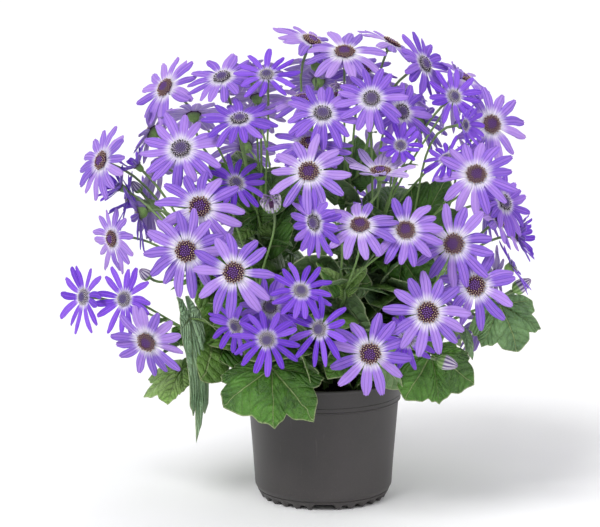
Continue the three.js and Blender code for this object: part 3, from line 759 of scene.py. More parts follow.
def grain_group() -> bpy.types.NodeTree:
    """The shared effect of fine skin: cells, coarse and fine, as a height."""
    sheet = new_group("Skin", "ShaderNodeTree", {"Cells": 800.0, "Depth": 1.0}, {"Height": NUMBER})
    start = sheet.add("NodeGroupInput").outputs
    place = sheet.place()
    cells = sheet.add("ShaderNodeTexVoronoi", {"Vector": place, "Scale": start["Cells"]})
    fine = sheet.noise(place, 2600, 2)
    rough = sheet.plus(cells.outputs["Distance"], sheet.times(fine, 0.5))
    sheet.add("NodeGroupOutput", {"Height": sheet.times(rough, start["Depth"])})
    return sheet.tree


@dataclass(frozen=True)
class Finish:
    """A finish: the named Principled sockets that hold one value, and how it is drawn."""

    name: str
    roughness: float = 0.5
    specular: float = 0.5
    sheen: float = 0.0
    bump: float = 0.3
    bump_distance: float = 0.0004
    subsurface: float = 0.0
    glow_depth: float = 0.002
    glow_reach: tuple[float, float, float] = (0.8, 0.7, 1.0)

    def effect(
        self, sheet: Sheet, name: str, build: Callable[[], bpy.types.NodeTree], **inputs: float
    ) -> Socket:
        """Places a shared effect in a material.

        Args:
            sheet: The material's sheet.
            name: The shared group's name.
            build: What makes the group the first time.
            **inputs: The material's own values, with underscores for spaces.

        Returns:
            The group's first output.
        """
        tree = bpy.data.node_groups.get(name) or build()
        node = sheet.add("ShaderNodeGroup", node_tree=tree)
        for title, value in inputs.items():
            node.inputs[title.replace("_", " ")].default_value = value
        return node.outputs[0]

    def mottle(self, sheet: Sheet, patches: float, specks: float, share: float) -> Socket:
        """The shared mask of patches and specks."""
        return self.effect(
            sheet, "Mottle", mottle_group, Patches=patches, Specks=specks, Speck_Share=share
        )

    def skin(self, sheet: Sheet, cells: float, depth: float) -> Socket:
        """The shared height of fine skin."""
        return self.effect(sheet, "Skin", grain_group, Cells=cells, Depth=depth)

    def draw(self, sheet: Sheet) -> dict[str, object]:
        """Draws the nodes. Returns the sockets for Base Color, Roughness and Height."""
        raise NotImplementedError

    def material(self) -> bpy.types.Material:
        """The finished material, made once."""
        known = bpy.data.materials.get(self.name)
        if known:
            return known
        made = bpy.data.materials.new(self.name)
        made.use_nodes = True
        sheet = Sheet(made.node_tree)
        shader = made.node_tree.nodes["Principled BSDF"]
        fixed = {
            "Roughness": self.roughness, "Specular IOR Level": self.specular, "Sheen Weight": self.sheen,
            "Subsurface Weight": self.subsurface, "Subsurface Scale": self.glow_depth,
            "Subsurface Radius": self.glow_reach,
        }
        for title, value in fixed.items():
            shader.inputs[title].default_value = value
        drawn = self.draw(sheet)
        height = drawn.pop("Height", None)
        for title, socket in drawn.items():
            sheet.put(shader.inputs[title], socket)
        if height is not None:
            inputs = {"Strength": self.bump, "Distance": self.bump_distance, "Height": height}
            sheet.put(shader.inputs["Normal"], sheet.add("ShaderNodeBump", inputs).outputs[0])
        return made


@dataclass(frozen=True)
class PetalFinish(Finish):
    """Velvety ray florets: a white base, lavender to violet with age, lengthwise veins, and painted shade
    along two furrows.
    """

    lavender: int = 0x8660D4
    lavender_middle: int = 0xA67CE2
    lavender_dark: int = 0x50309E
    violet: int = 0x6A30D0
    violet_middle: int = 0x8E54EA
    violet_dark: int = 0x3C1A98
    pale: int = 0xD2BCEE
    base: int = 0xFAF6FF
    under: int = 0xD2BEFF

    def draw(self, sheet: Sheet) -> dict[str, object]:
        """Draws the petal's colour bands and veins."""
        along, across = sheet.map_axes()
        off_middle = sheet.sum("ABSOLUTE", sheet.sum("MULTIPLY_ADD", across, 2.0, -1.0))
        tone = sheet.attribute("tone")
        chance = sheet.attribute("chance")
        spot = sheet.add("ShaderNodeCombineXYZ", {
            0: sheet.times(along, 1.6), 1: sheet.times(across, 9.0),
            2: sheet.times(chance, 40.0),
        })
        streaks = sheet.noise(spot.outputs[0], 1.0, 3)
        ridges = sheet.sum("SINE", sheet.plus(sheet.times(across, 56.0), sheet.times(streaks, 7.0)))
        veins = sheet.step(ridges, 0.15, 1.0)
        off_furrow = sheet.sum("ABSOLUTE", sheet.sum("SUBTRACT", off_middle, FURROW_PLACE))
        furrow = sheet.step(off_furrow, 0.0, 0.11, 1.0, 0.0)
        ripe = sheet.step(tone, 0.0, 1.0)
        faded = sheet.step(sheet.times(tone, -1.0), 0.0, 0.7)
        body = sheet.mix(off_middle, self.lavender_middle, self.lavender)
        deep = sheet.mix(off_middle, self.violet_middle, self.violet)
        body = sheet.mix(ripe, body, deep)
        body = sheet.mix(faded, body, self.pale)
        dark = sheet.mix(ripe, self.lavender_dark, self.violet_dark)
        # The veins are the petal's own darker lines; the darkening along the two furrows is painted shade in
        # those grooves.
        veins_and_furrow_shade = sheet.plus(sheet.times(veins, 0.42), sheet.times(furrow, 0.68), clamp=True)
        body = sheet.mix(veins_and_furrow_shade, body, dark)
        light = sheet.mix(ripe, 0xD0ACF6, 0xA070F4)
        body = sheet.mix(sheet.step(chance, 0.3, 1.0, 0.0, 0.46), body, light)
        body = sheet.mix(sheet.step(chance, 0.0, 0.35, 0.3, 0.0), body, dark)
        reach = sheet.plus(along, sheet.sum("MULTIPLY_ADD", streaks, 0.36, -0.18))
        near = sheet.sum("MULTIPLY_ADD", ripe, -0.05, 0.08)
        far = sheet.sum("MULTIPLY_ADD", ripe, -0.15, 0.40)
        white = sheet.step(reach, near, far, 1.0, 0.0)
        # The white base is greyed in the veins and, as painted shade, in the furrows.
        lined = sheet.sum("MULTIPLY_ADD", sheet.sum("MAXIMUM", veins, furrow), -0.42, 1.0)
        white = sheet.times(white, lined)
        front = sheet.mix(white, body, self.base)
        rib = sheet.step(off_middle, 0.0, 0.22, 0.55, 0.0)
        fading = sheet.sum("MULTIPLY_ADD", ripe, -0.32, 0.52)
        rear = sheet.mix(fading, body, self.under)
        rear = sheet.mix(rib, rear, 0xE6DEFA)
        skin = sheet.mix(sheet.attribute("back"), front, rear)
        hue = self.mottle(sheet, 90, 1400, 0.35)
        skin = sheet.tint(skin, hue, 0.10, 0x7A5BDD)
        relief = sheet.sum("SUBTRACT", sheet.times(veins, -0.5), furrow)
        height = sheet.plus(relief, sheet.times(self.skin(sheet, 3000, 0.3), 0.6))
        return {"Base Color": skin, "Height": height}


@dataclass(frozen=True)
class FloretFinish(Finish):
    """Disc florets: closed violet buds in the middle, maroon open ones with cream pollen round them."""

    def draw(self, sheet: Sheet) -> dict[str, object]:
        """Draws the florets' colours by their age, opening and height, darker toward each floret's foot as
        painted shade.
        """
        tone, shut = sheet.attribute("tone"), sheet.attribute("shut")
        height, middle = sheet.attribute("height"), sheet.attribute("middle")
        ripe = sheet.step(tone, 0.0, 0.62)
        pale = sheet.step(tone, 0.08, 0.36)
        # Partly painted shade: each floret runs from dark at its foot, where shade falls between the packed
        # florets, to its own colour toward the tip.
        bud = sheet.mix(height, 0x3E1F52, 0x9A68CC)
        ring_bud = sheet.mix(height, 0x6C6474, 0xE6E0E4)
        core_bud = sheet.mix(height, 0x48397C, 0x8E79C8)
        bud = sheet.mix(ripe, bud, sheet.mix(middle, ring_bud, core_bud))
        # The open florets' maroon also darkens toward the foot: painted shade between the florets.
        collar = sheet.mix(sheet.step(height, 0.3, 0.9), 0x3A1626, 0x7A4454)
        pollen = sheet.step(height, 0.91, 0.97)
        opened = sheet.mix(pollen, collar, 0xF0DCB4)
        pale_open = sheet.mix(pollen, 0x3A333C, 0xFAF6EC)
        opened = sheet.mix(pale, opened, pale_open)
        body = sheet.mix(shut, opened, bud)
        speck = self.mottle(sheet, 500, 2500, 0.5)
        body = sheet.tint(body, speck, 0.22, 0x2A1626)
        return {"Base Color": body, "Height": self.skin(sheet, 2400, 1.0)}


@dataclass(frozen=True)
class StemFinish(Finish):
    """Green stems, stalks and cups, ribbed and finely haired, purplish where the sun reaches."""

    def draw(self, sheet: Sheet) -> dict[str, object]:
        """Draws ribs, patches and the purple flush."""
        along, across = sheet.map_axes()
        flush = sheet.attribute("flush")
        ribs = sheet.sum("SINE", sheet.times(across, 21.0))
        spot = sheet.add("ShaderNodeCombineXYZ", {0: along, 1: sheet.times(across, 4.0)})
        grain = sheet.noise(spot.outputs[0], 3.0, 4)
        body = sheet.mix(sheet.step(grain, 0.3, 0.7), 0x5F8C3C, 0x9ABF6A)
        body = sheet.mix(sheet.step(ribs, 0.2, 1.0, 0.0, 0.45), body, 0xB2CC8C)
        patch = self.mottle(sheet, 70, 900, 0.4)
        body = sheet.tint(body, patch, 0.25, 0x4C7A34)
        body = sheet.tint(body, flush, 0.75, 0x5B3F63)
        height = sheet.plus(sheet.times(ribs, 0.5), self.skin(sheet, 1600, 0.6))
        return {"Base Color": body, "Height": height}


@dataclass(frozen=True)
class LeafFinish(Finish):
    """Quilted leaves with palmate veins, side veins, a fine net and a pale edge."""

    def draw(self, sheet: Sheet) -> dict[str, object]:
        """Draws the veins from the leaf's own map: lobes along the first axis, the way out on the second."""
        lobe, out = sheet.map_axes()
        place = sheet.place()
        wander = sheet.sum("MULTIPLY_ADD", sheet.noise(place, 55, 2), 0.3, -0.15)
        wander = sheet.times(wander, out)
        turn = sheet.sum("FRACT", sheet.plus(sheet.plus(lobe, wander), 0.5))
        aside = sheet.times(sheet.sum("ABSOLUTE", sheet.sum("SUBTRACT", turn, 0.5)), out)
        width = sheet.sum("MULTIPLY_ADD", out, -0.016, 0.027)
        main = sheet.step(sheet.sum("DIVIDE", aside, width), 0.25, 1.0, 1.0, 0.0)
        slant = sheet.sum("SUBTRACT", out, sheet.times(aside, 1.15))
        phase = sheet.sum("FRACT", sheet.sum("MULTIPLY_ADD", slant, 6.0, sheet.times(wander, 5.0)))
        between = sheet.sum("ABSOLUTE", sheet.sum("SUBTRACT", phase, 0.5))
        side = sheet.step(between, 0.015, 0.09, 1.0, 0.0)
        bulge = sheet.step(between, 0.0, 0.42)
        cells = sheet.add(
            "ShaderNodeTexVoronoi", {"Vector": place, "Scale": 300.0}, feature="DISTANCE_TO_EDGE")
        net = sheet.step(cells.outputs["Distance"], 0.0, 0.14, 1.0, 0.0)
        quilt = sheet.add("ShaderNodeTexVoronoi", {"Vector": place, "Scale": 150.0}, feature="SMOOTH_F1")
        back, tone = sheet.attribute("back"), sheet.attribute("tone")
        patch = self.mottle(sheet, 42, 500, 0.25)
        green = sheet.mix(patch, 0x2D5812, 0x528A26)
        grey = sheet.mix(patch, 0x84AA80, 0xB2D4A8)
        fresh = sheet.mix(patch, 0x7CAA48, 0xAAD274)
        body = sheet.mix(sheet.step(tone, 0.0, 1.0), green, grey)
        body = sheet.mix(sheet.step(sheet.times(tone, -1.0), 0.0, 1.0), body, fresh)
        body = sheet.tint(body, net, 0.2, 0x7FA94C)
        body = sheet.tint(body, side, 0.2, 0x8CB25E)
        body = sheet.tint(body, main, 0.8, 0xB4CD86)
        # Painted shade: darker green in the hollows between the quilted bulges.
        shade = sheet.times(sheet.step(quilt.outputs["Distance"], 0.25, 0.8), 0.22)
        body = sheet.mix(shade, body, 0x234710)
        rear = sheet.mix(sheet.sum("MAXIMUM", main, sheet.times(side, 0.6)),
                         0x7FA069, 0xB4C994)
        body = sheet.mix(back, body, rear)
        edge = sheet.step(out, 0.972, 0.992)
        body = sheet.tint(body, edge, 0.5, 0xD2DAA8)
        sunk = sheet.plus(sheet.times(main, 1.2), sheet.times(side, 0.4))
        relief = sheet.times(bulge, 0.5)
        relief = sheet.sum("SUBTRACT", relief, sheet.times(quilt.outputs["Distance"], 1.1))
        relief = sheet.sum("SUBTRACT", relief, sunk)
        relief = sheet.sum("SUBTRACT", relief, sheet.times(net, 0.2))
        height = sheet.plus(relief, sheet.times(self.skin(sheet, 1800, 0.4), 0.3))
        rough = sheet.step(quilt.outputs["Distance"], 0.0, 0.8, self.roughness - 0.06, self.roughness + 0.12)
        return {"Base Color": body, "Roughness": rough, "Height": height}


@dataclass(frozen=True)
class BudFinish(Finish):
    """Closed buds: green below, then white and violet stripes of the folded petals."""

    def draw(self, sheet: Sheet) -> dict[str, object]:
        """Draws the stripes round the bud."""
        along, _ = sheet.map_axes()
        stripes = sheet.step(sheet.attribute("stripe"), 0.2, 0.8)
        folded = sheet.mix(stripes, 0x6E5A8C, 0xE2DAE8)
        top = sheet.step(along, 0.3, 0.42)
        green = sheet.mix(stripes, 0x6A9445, 0x9CBF74)
        body = sheet.mix(top, green, folded)
        tip = sheet.step(along, 0.82, 1.0)
        body = sheet.tint(body, tip, 0.7, 0x6B4A86)
        body = sheet.tint(body, self.mottle(sheet, 200, 1500, 0.4), 0.2, 0x5A5070)
        return {"Base Color": body, "Height": stripes}


@dataclass(frozen=True)
class PotFinish(Finish):
    """Dark grey moulded plastic with a satin skin, faint scuffs and a little dust."""

    def draw(self, sheet: Sheet) -> dict[str, object]:
        """Draws the plastic's tint, scuffs and dust."""
        place = sheet.place()
        axes = sheet.add("ShaderNodeSeparateXYZ", {0: place})
        patch = self.mottle(sheet, 14, 600, 0.15)
        body = sheet.mix(patch, 0x353232, 0x3F3B3B)
        stretched = sheet.add("ShaderNodeMapping", {"Vector": place, "Scale": (1.0, 1.0, 0.06)})
        scuffs = sheet.step(sheet.noise(stretched.outputs[0], 420, 3), 0.66, 0.8)
        body = sheet.tint(body, scuffs, 0.16, 0x77706E)
        dust = sheet.step(sheet.noise(place, 1900, 2), 0.62, 0.74)
        low = sheet.step(axes.outputs[2], 0.0, 0.03, 0.5, 0.12)
        body = sheet.tint(body, dust, low, 0x8A817A)
        rough = sheet.plus(sheet.times(patch, 0.07), self.roughness)
        rough = sheet.plus(rough, sheet.times(scuffs, 0.12))
        height = sheet.plus(self.skin(sheet, 2200, 0.5), sheet.times(scuffs, -0.4))
        return {"Base Color": body, "Roughness": rough, "Height": height}


@dataclass(frozen=True)
class PeatFinish(Finish):
    """Dark potting peat with paler fibres."""

    def draw(self, sheet: Sheet) -> dict[str, object]:
        """Draws the crumbs and fibres."""
        place = sheet.place()
        crumb = sheet.noise(place, 420, 5)
        body = sheet.mix(sheet.step(crumb, 0.35, 0.65), 0x17110D, 0x46352A)
        fibre = sheet.add("ShaderNodeTexWave", {"Vector": place, "Scale": 160.0, "Distortion": 18.0})
        thin = sheet.step(fibre.outputs["Fac"], 0.93, 1.0, 0.0, 0.6)
        body = sheet.mix(thin, body, 0x7A6249)
        body = sheet.tint(body, self.mottle(sheet, 90, 1200, 0.5), 0.4, 0x0F0B09)
        return {"Base Color": body, "Height": sheet.plus(crumb, self.skin(sheet, 900, 0.7))}


@dataclass(frozen=True)
class FloorFinish(Finish):
    """A plain pale floor."""

    tint: int = 0xFDFDFE

    def draw(self, sheet: Sheet) -> dict[str, object]:
        """Draws the plain tint with the faintest unevenness."""
        cloud = sheet.noise(sheet.place(), 3, 2)
        return {"Base Color": sheet.tint(self.tint, cloud, 0.05, 0xF0F0F3)}


PETAL = PetalFinish(
    "Petal", roughness=0.6, specular=0.2, sheen=0.06, bump=0.5, bump_distance=0.0005, subsurface=0.3)
FLORET = FloretFinish("Disc floret", roughness=0.65, specular=0.3, bump=0.3)
STEM = StemFinish("Green stem", roughness=0.55, specular=0.35, sheen=0.1, bump=0.4)
LEAF = LeafFinish("Green leaf", roughness=0.35, specular=0.55, bump=1.0, bump_distance=0.0018)
BUD = BudFinish("Closed bud", roughness=0.6, specular=0.3, bump=0.5)
PLASTIC = PotFinish("Pot plastic", roughness=0.42, specular=0.5, bump=0.12, bump_distance=0.0002)
PEAT = PeatFinish("Potting peat", roughness=0.95, specular=0.2, bump=0.9, bump_distance=0.0012)
FLOOR = FloorFinish("Pale floor", roughness=0.9, specular=0.1)


# Geometry Nodes.
@dataclass
class Scatter:
    """A Geometry Nodes tree that is run once on a carrier and leaves a plain mesh."""

    sheet: Sheet
    finish: bpy.types.Material

    def close(self, geometry: Socket) -> Scatter:
        """Ends the tree in real geometry with its material, and returns the scatter."""
        real = self.sheet.add("GeometryNodeRealizeInstances", {0: geometry})
        dressed = self.sheet.add(
            "GeometryNodeSetMaterial", {"Geometry": real.outputs[0], "Material": self.finish})
        smooth_faces = self.sheet.add("GeometryNodeSetShadeSmooth", {0: dressed.outputs[0]})
        self.sheet.add("NodeGroupOutput", {0: smooth_faces.outputs[0]})
        return self

    def run(self, carrier: Piece, name: str, values: dict[str, object]) -> Piece:
        """Runs the tree on a carrier.

        Args:
            carrier: The object whose mesh goes in.
            name: The new piece's name.
            values: The tree's inputs by name.

        Returns:
            The new piece, a plain mesh.
        """
        modifier = carrier.modifiers.new(name, "NODES")
        modifier.node_group = self.sheet.tree
        for item in self.sheet.tree.interface.items_tree:
            if item.item_type == "SOCKET" and item.in_out == "INPUT" and item.name in values:
                modifier[item.identifier] = values[item.name]
        carrier.update_tag()
        mesh = after_modifiers(carrier)
        carrier.modifiers.remove(modifier)
        mesh.name = name
        return into_scene(name, mesh)


def scatter_sheet(name: str, seed: int, inputs: dict[str, float | str]) -> tuple[Sheet, Sequence]:
    """Starts a Geometry Nodes tree.

    Args:
        name: The tree's name.
        seed: Its starting seed.
        inputs: Its own inputs, as in a group.

    Returns:
        The sheet to draw it on, and the sockets of its inputs by name.
    """
    every = {"Geometry": SHAPE, **inputs, "Seed": seed}
    sheet = new_group(name, "GeometryNodeTree", every, {"Geometry": SHAPE})
    return sheet, sheet.add("NodeGroupInput").outputs


def floret_tree() -> Scatter:
    """Stands closed and open florets on points, turned along each point's own way."""
    shape_kind = "NodeSocketObject"
    sheet, start = scatter_sheet(
        "Disc florets", 4, {"Closed Floret": shape_kind, "Open Floret": shape_kind, "Size": 1.0})
    points = sheet.add("GeometryNodeMeshToPoints", {"Mesh": start["Geometry"]})
    facing = sheet.named("facing", "FLOAT_VECTOR")
    shut, size = sheet.named("shut"), sheet.named("size")
    aim = sheet.add("FunctionNodeAlignRotationToVector", {"Vector": facing}, axis="Z")
    about = sheet.add("ShaderNodeCombineXYZ", {2: sheet.chance(0.0, 6.283, start["Seed"])})
    turn = sheet.add(
        "FunctionNodeRotateRotation", {0: aim.outputs[0], 1: about.outputs[0]}, rotation_space="LOCAL")
    scale = sheet.times(size, start["Size"])
    closed = sheet.over_half(shut)
    opened = sheet.add("FunctionNodeBooleanMath", {0: closed}, operation="NOT").outputs[0]
    joined = sheet.add("GeometryNodeJoinGeometry")
    for title, chosen in (("Closed Floret", closed), ("Open Floret", opened)):
        shape = sheet.add("GeometryNodeObjectInfo", {"Object": start[title]})
        made = sheet.add("GeometryNodeInstanceOnPoints", {
            "Points": points.outputs[0], "Selection": chosen,
            "Instance": shape.outputs["Geometry"], "Rotation": turn.outputs[0], "Scale": scale,
        })
        sheet.put(joined.inputs[0], made.outputs[0])
    return Scatter(sheet, FLORET.material()).close(joined.outputs[0])


def hair_tree() -> Scatter:
    """Stands short tapered hairs on a green skin."""
    sheet, start = scatter_sheet("Stem hairs", 7, {
        "Hairs per Square Metre": 60000.0, "Hair Length": 0.0012, "Hair Radius": 0.00006})
    points = sheet.add("GeometryNodeDistributePointsOnFaces", {
        "Mesh": start["Geometry"], "Density": start["Hairs per Square Metre"], "Seed": start["Seed"],
    })
    hair = sheet.add("GeometryNodeMeshCone", {
        "Vertices": 3, "Side Segments": 1, "Fill Segments": 1, "Radius Top": 0.0,
        "Radius Bottom": start["Hair Radius"], "Depth": start["Hair Length"],
    })
    lean = sheet.chance((-0.5, -0.5, 0.0), (0.5, 0.5, 6.0), start["Seed"])
    turn = sheet.add(
        "FunctionNodeRotateRotation", {0: points.outputs["Rotation"], 1: lean}, rotation_space="LOCAL")
    made = sheet.add("GeometryNodeInstanceOnPoints", {
        "Points": points.outputs[0], "Instance": hair.outputs[0], "Rotation": turn.outputs[0],
        "Scale": sheet.chance(0.5, 1.2, start["Seed"]),
    })
    return Scatter(sheet, STEM.material()).close(made.outputs[0])


def crumb_tree() -> Scatter:
    """Strews crumbs over the top of the soil."""
    sheet, start = scatter_sheet(
        "Soil crumbs", 11, {"Crumbs per Square Metre": 90000.0, "Crumb Radius": 0.0011})
    normal = sheet.add("GeometryNodeInputNormal")
    height = sheet.add("ShaderNodeSeparateXYZ", {0: normal.outputs[0]})
    points = sheet.add("GeometryNodeDistributePointsOnFaces", {
        "Mesh": start["Geometry"], "Selection": sheet.over_half(height.outputs[2]),
        "Density": start["Crumbs per Square Metre"], "Seed": start["Seed"],
    })
    crumb = sheet.add("GeometryNodeMeshIcoSphere", {"Radius": start["Crumb Radius"], "Subdivisions": 1})
    stretch = sheet.chance((0.5, 0.4, 0.3), (1.6, 1.2, 1.0), start["Seed"])
    spin = sheet.chance((0.0, 0.0, 0.0), (6.0, 6.0, 6.0), start["Seed"])
    made = sheet.add("GeometryNodeInstanceOnPoints", {
        "Points": points.outputs[0], "Instance": crumb.outputs[0], "Rotation": spin, "Scale": stretch})
    return Scatter(sheet, PEAT.material()).close(made.outputs[0])


# The plant.
@dataclass
class Head:
    """A flower head, or a bud where it has a size."""

    centre: Array
    heading: float
    rise: float
    reach: float
    age: Age
    seed: int
    size: float = 0.0
    form: str = ""

    def __post_init__(self) -> None:
        """Works out which way the head looks."""
        self.facing = direction(self.heading, self.rise)
        self.across = unit(np.cross(UP, self.facing))
        self.upward = np.cross(self.facing, self.across)
        self.bloom = BLOOMS[self.age]

    def seat(self) -> Array:
        """Where the stalk ends and the cup starts."""
        return self.centre - self.facing * (CUP_GAP + CUP_HEIGHT)

    def out(self, angle: Array | float) -> Array:
        """The way out from the head's middle at angles in radians."""
        angle = np.asarray(angle)[..., None]
        return self.across * np.cos(angle) + self.upward * np.sin(angle)


@dataclass(frozen=True)
class Bend:
    """How a petal is turned aside to lie clear: degrees of pitch and yaw, and its length's share."""

    pitch: float = 0.0
    yaw: float = 0.0
    length: float = 1.0


BENDS = sorted(
    (Bend(pitch, yaw) for pitch in (0, 6, -6, 12, -12, 19, -19, 28, -28, 40) for yaw in (0, 5, -5)),
    key=lambda bend: abs(bend.pitch) + abs(bend.yaw),
) + [Bend(pitch, 0, length) for length in (0.8, 0.6, 0.4) for pitch in (0, 15, -15)]


def petal_steps(rows: int) -> Array:
    """Shares of a petal's length, closer together at its tip."""
    return 1 - (1 - np.linspace(0, 1, rows + 1)) ** 1.6


@dataclass(frozen=True)
class Petal:
    """One ray floret of a head. Shares are of its own length or half width."""

    head: Head
    angle: float
    length: float
    half_width: float
    pitch: float
    curl: float
    twist: float
    depth: float
    hollow: float
    sway: float
    sag: float
    chance: float

    ROOT = 0.16
    WIDEST = 0.6
    ROOT_WIDTH = 0.42
    TIP_START = 0.78
    TIP_WIDTH = 0.6
    THICKNESS = 0.3

    def surface(self, bend: Bend, rows: int, columns: int) -> Array:
        """The petal's upper side as a grid of points.

        Args:
            bend: How it is turned aside.
            rows: Steps along it.
            columns: Steps across it.

        Returns:
            A grid of rows + 1 by columns + 1 points.
        """
        head = self.head
        along = petal_steps(rows)
        across = np.linspace(-1, 1, columns + 1)
        swell = np.sin(math.pi / 2 * np.minimum(along / self.WIDEST, 1))
        width = self.ROOT_WIDTH + (1 - self.ROOT_WIDTH) * swell
        past = np.clip((along - self.TIP_START) / (1 - self.TIP_START), 0, 1)
        width = width * (1 - (1 - self.TIP_WIDTH) * past**2)
        slope = np.radians(self.pitch * (1 - 0.3 * along) - self.curl * along**2
                           + bend.pitch * smooth(along, -0.05, 0.45))
        root = head.reach * self.ROOT
        span = (head.reach * self.length - root) * bend.length
        steps = np.diff(along, prepend=0) * span
        outward = root + np.cumsum(np.cos(slope) * steps)
        upward = np.cumsum(np.sin(slope) * steps) - self.depth
        sway = math.radians(self.sway) * along**2
        angle = self.angle + math.radians(bend.yaw) * smooth(along, 0, 0.6) + sway
        way = head.out(angle)
        side = head.out(angle + math.pi / 2)
        face = head.facing * np.cos(slope)[:, None] - way * np.sin(slope)[:, None]
        lean = math.radians(self.twist) * along
        left = side * np.cos(lean)[:, None] + face * np.sin(lean)[:, None]
        middle = head.centre + way * outward[:, None] + head.facing * upward[:, None]
        middle = middle - UP * (self.sag * span * along**2)[:, None]
        half = width * self.half_width * head.reach * min(1.0, 0.4 + 0.6 * bend.length)
        furrow = np.exp(-(((np.abs(across) - FURROW_PLACE) / 0.15) ** 2))
        section = self.hollow * across**2 - 0.14 * furrow
        drop = np.outer(half * smooth(along, 0, 0.2), section)
        round_end = np.sqrt(1 - 0.94 * across**2) - 1
        notches = 0.012 * np.cos(3 * math.pi * across)
        forward = np.outer(smooth(along, 0.5, 1.0) * half * 1.15, round_end)
        forward = forward + np.outer(smooth(along, 0.9, 1.0) * span, notches)
        return (
            middle[:, None, :] + left[:, None, :] * np.outer(half, across)[..., None]
            + face[:, None, :] * drop[..., None] + way[:, None, :] * forward[..., None]
        )


@dataclass
class Obstacle:
    """Something that petals keep clear of: its triangles, its ball and whose it is."""

    tree: BVHTree
    middle: Array
    radius: float
    owner: object

    @classmethod
    def of(cls, points: Array, faces: Iterable[Sequence[int]], owner: object) -> Obstacle:
        """Makes an obstacle from points and faces."""
        points = points.reshape(-1, 3)
        middle = points.mean(axis=0)
        radius = float(np.linalg.norm(points - middle, axis=1).max())
        return cls(BVHTree.FromPolygons(points.tolist(), list(faces)), middle, radius, owner)


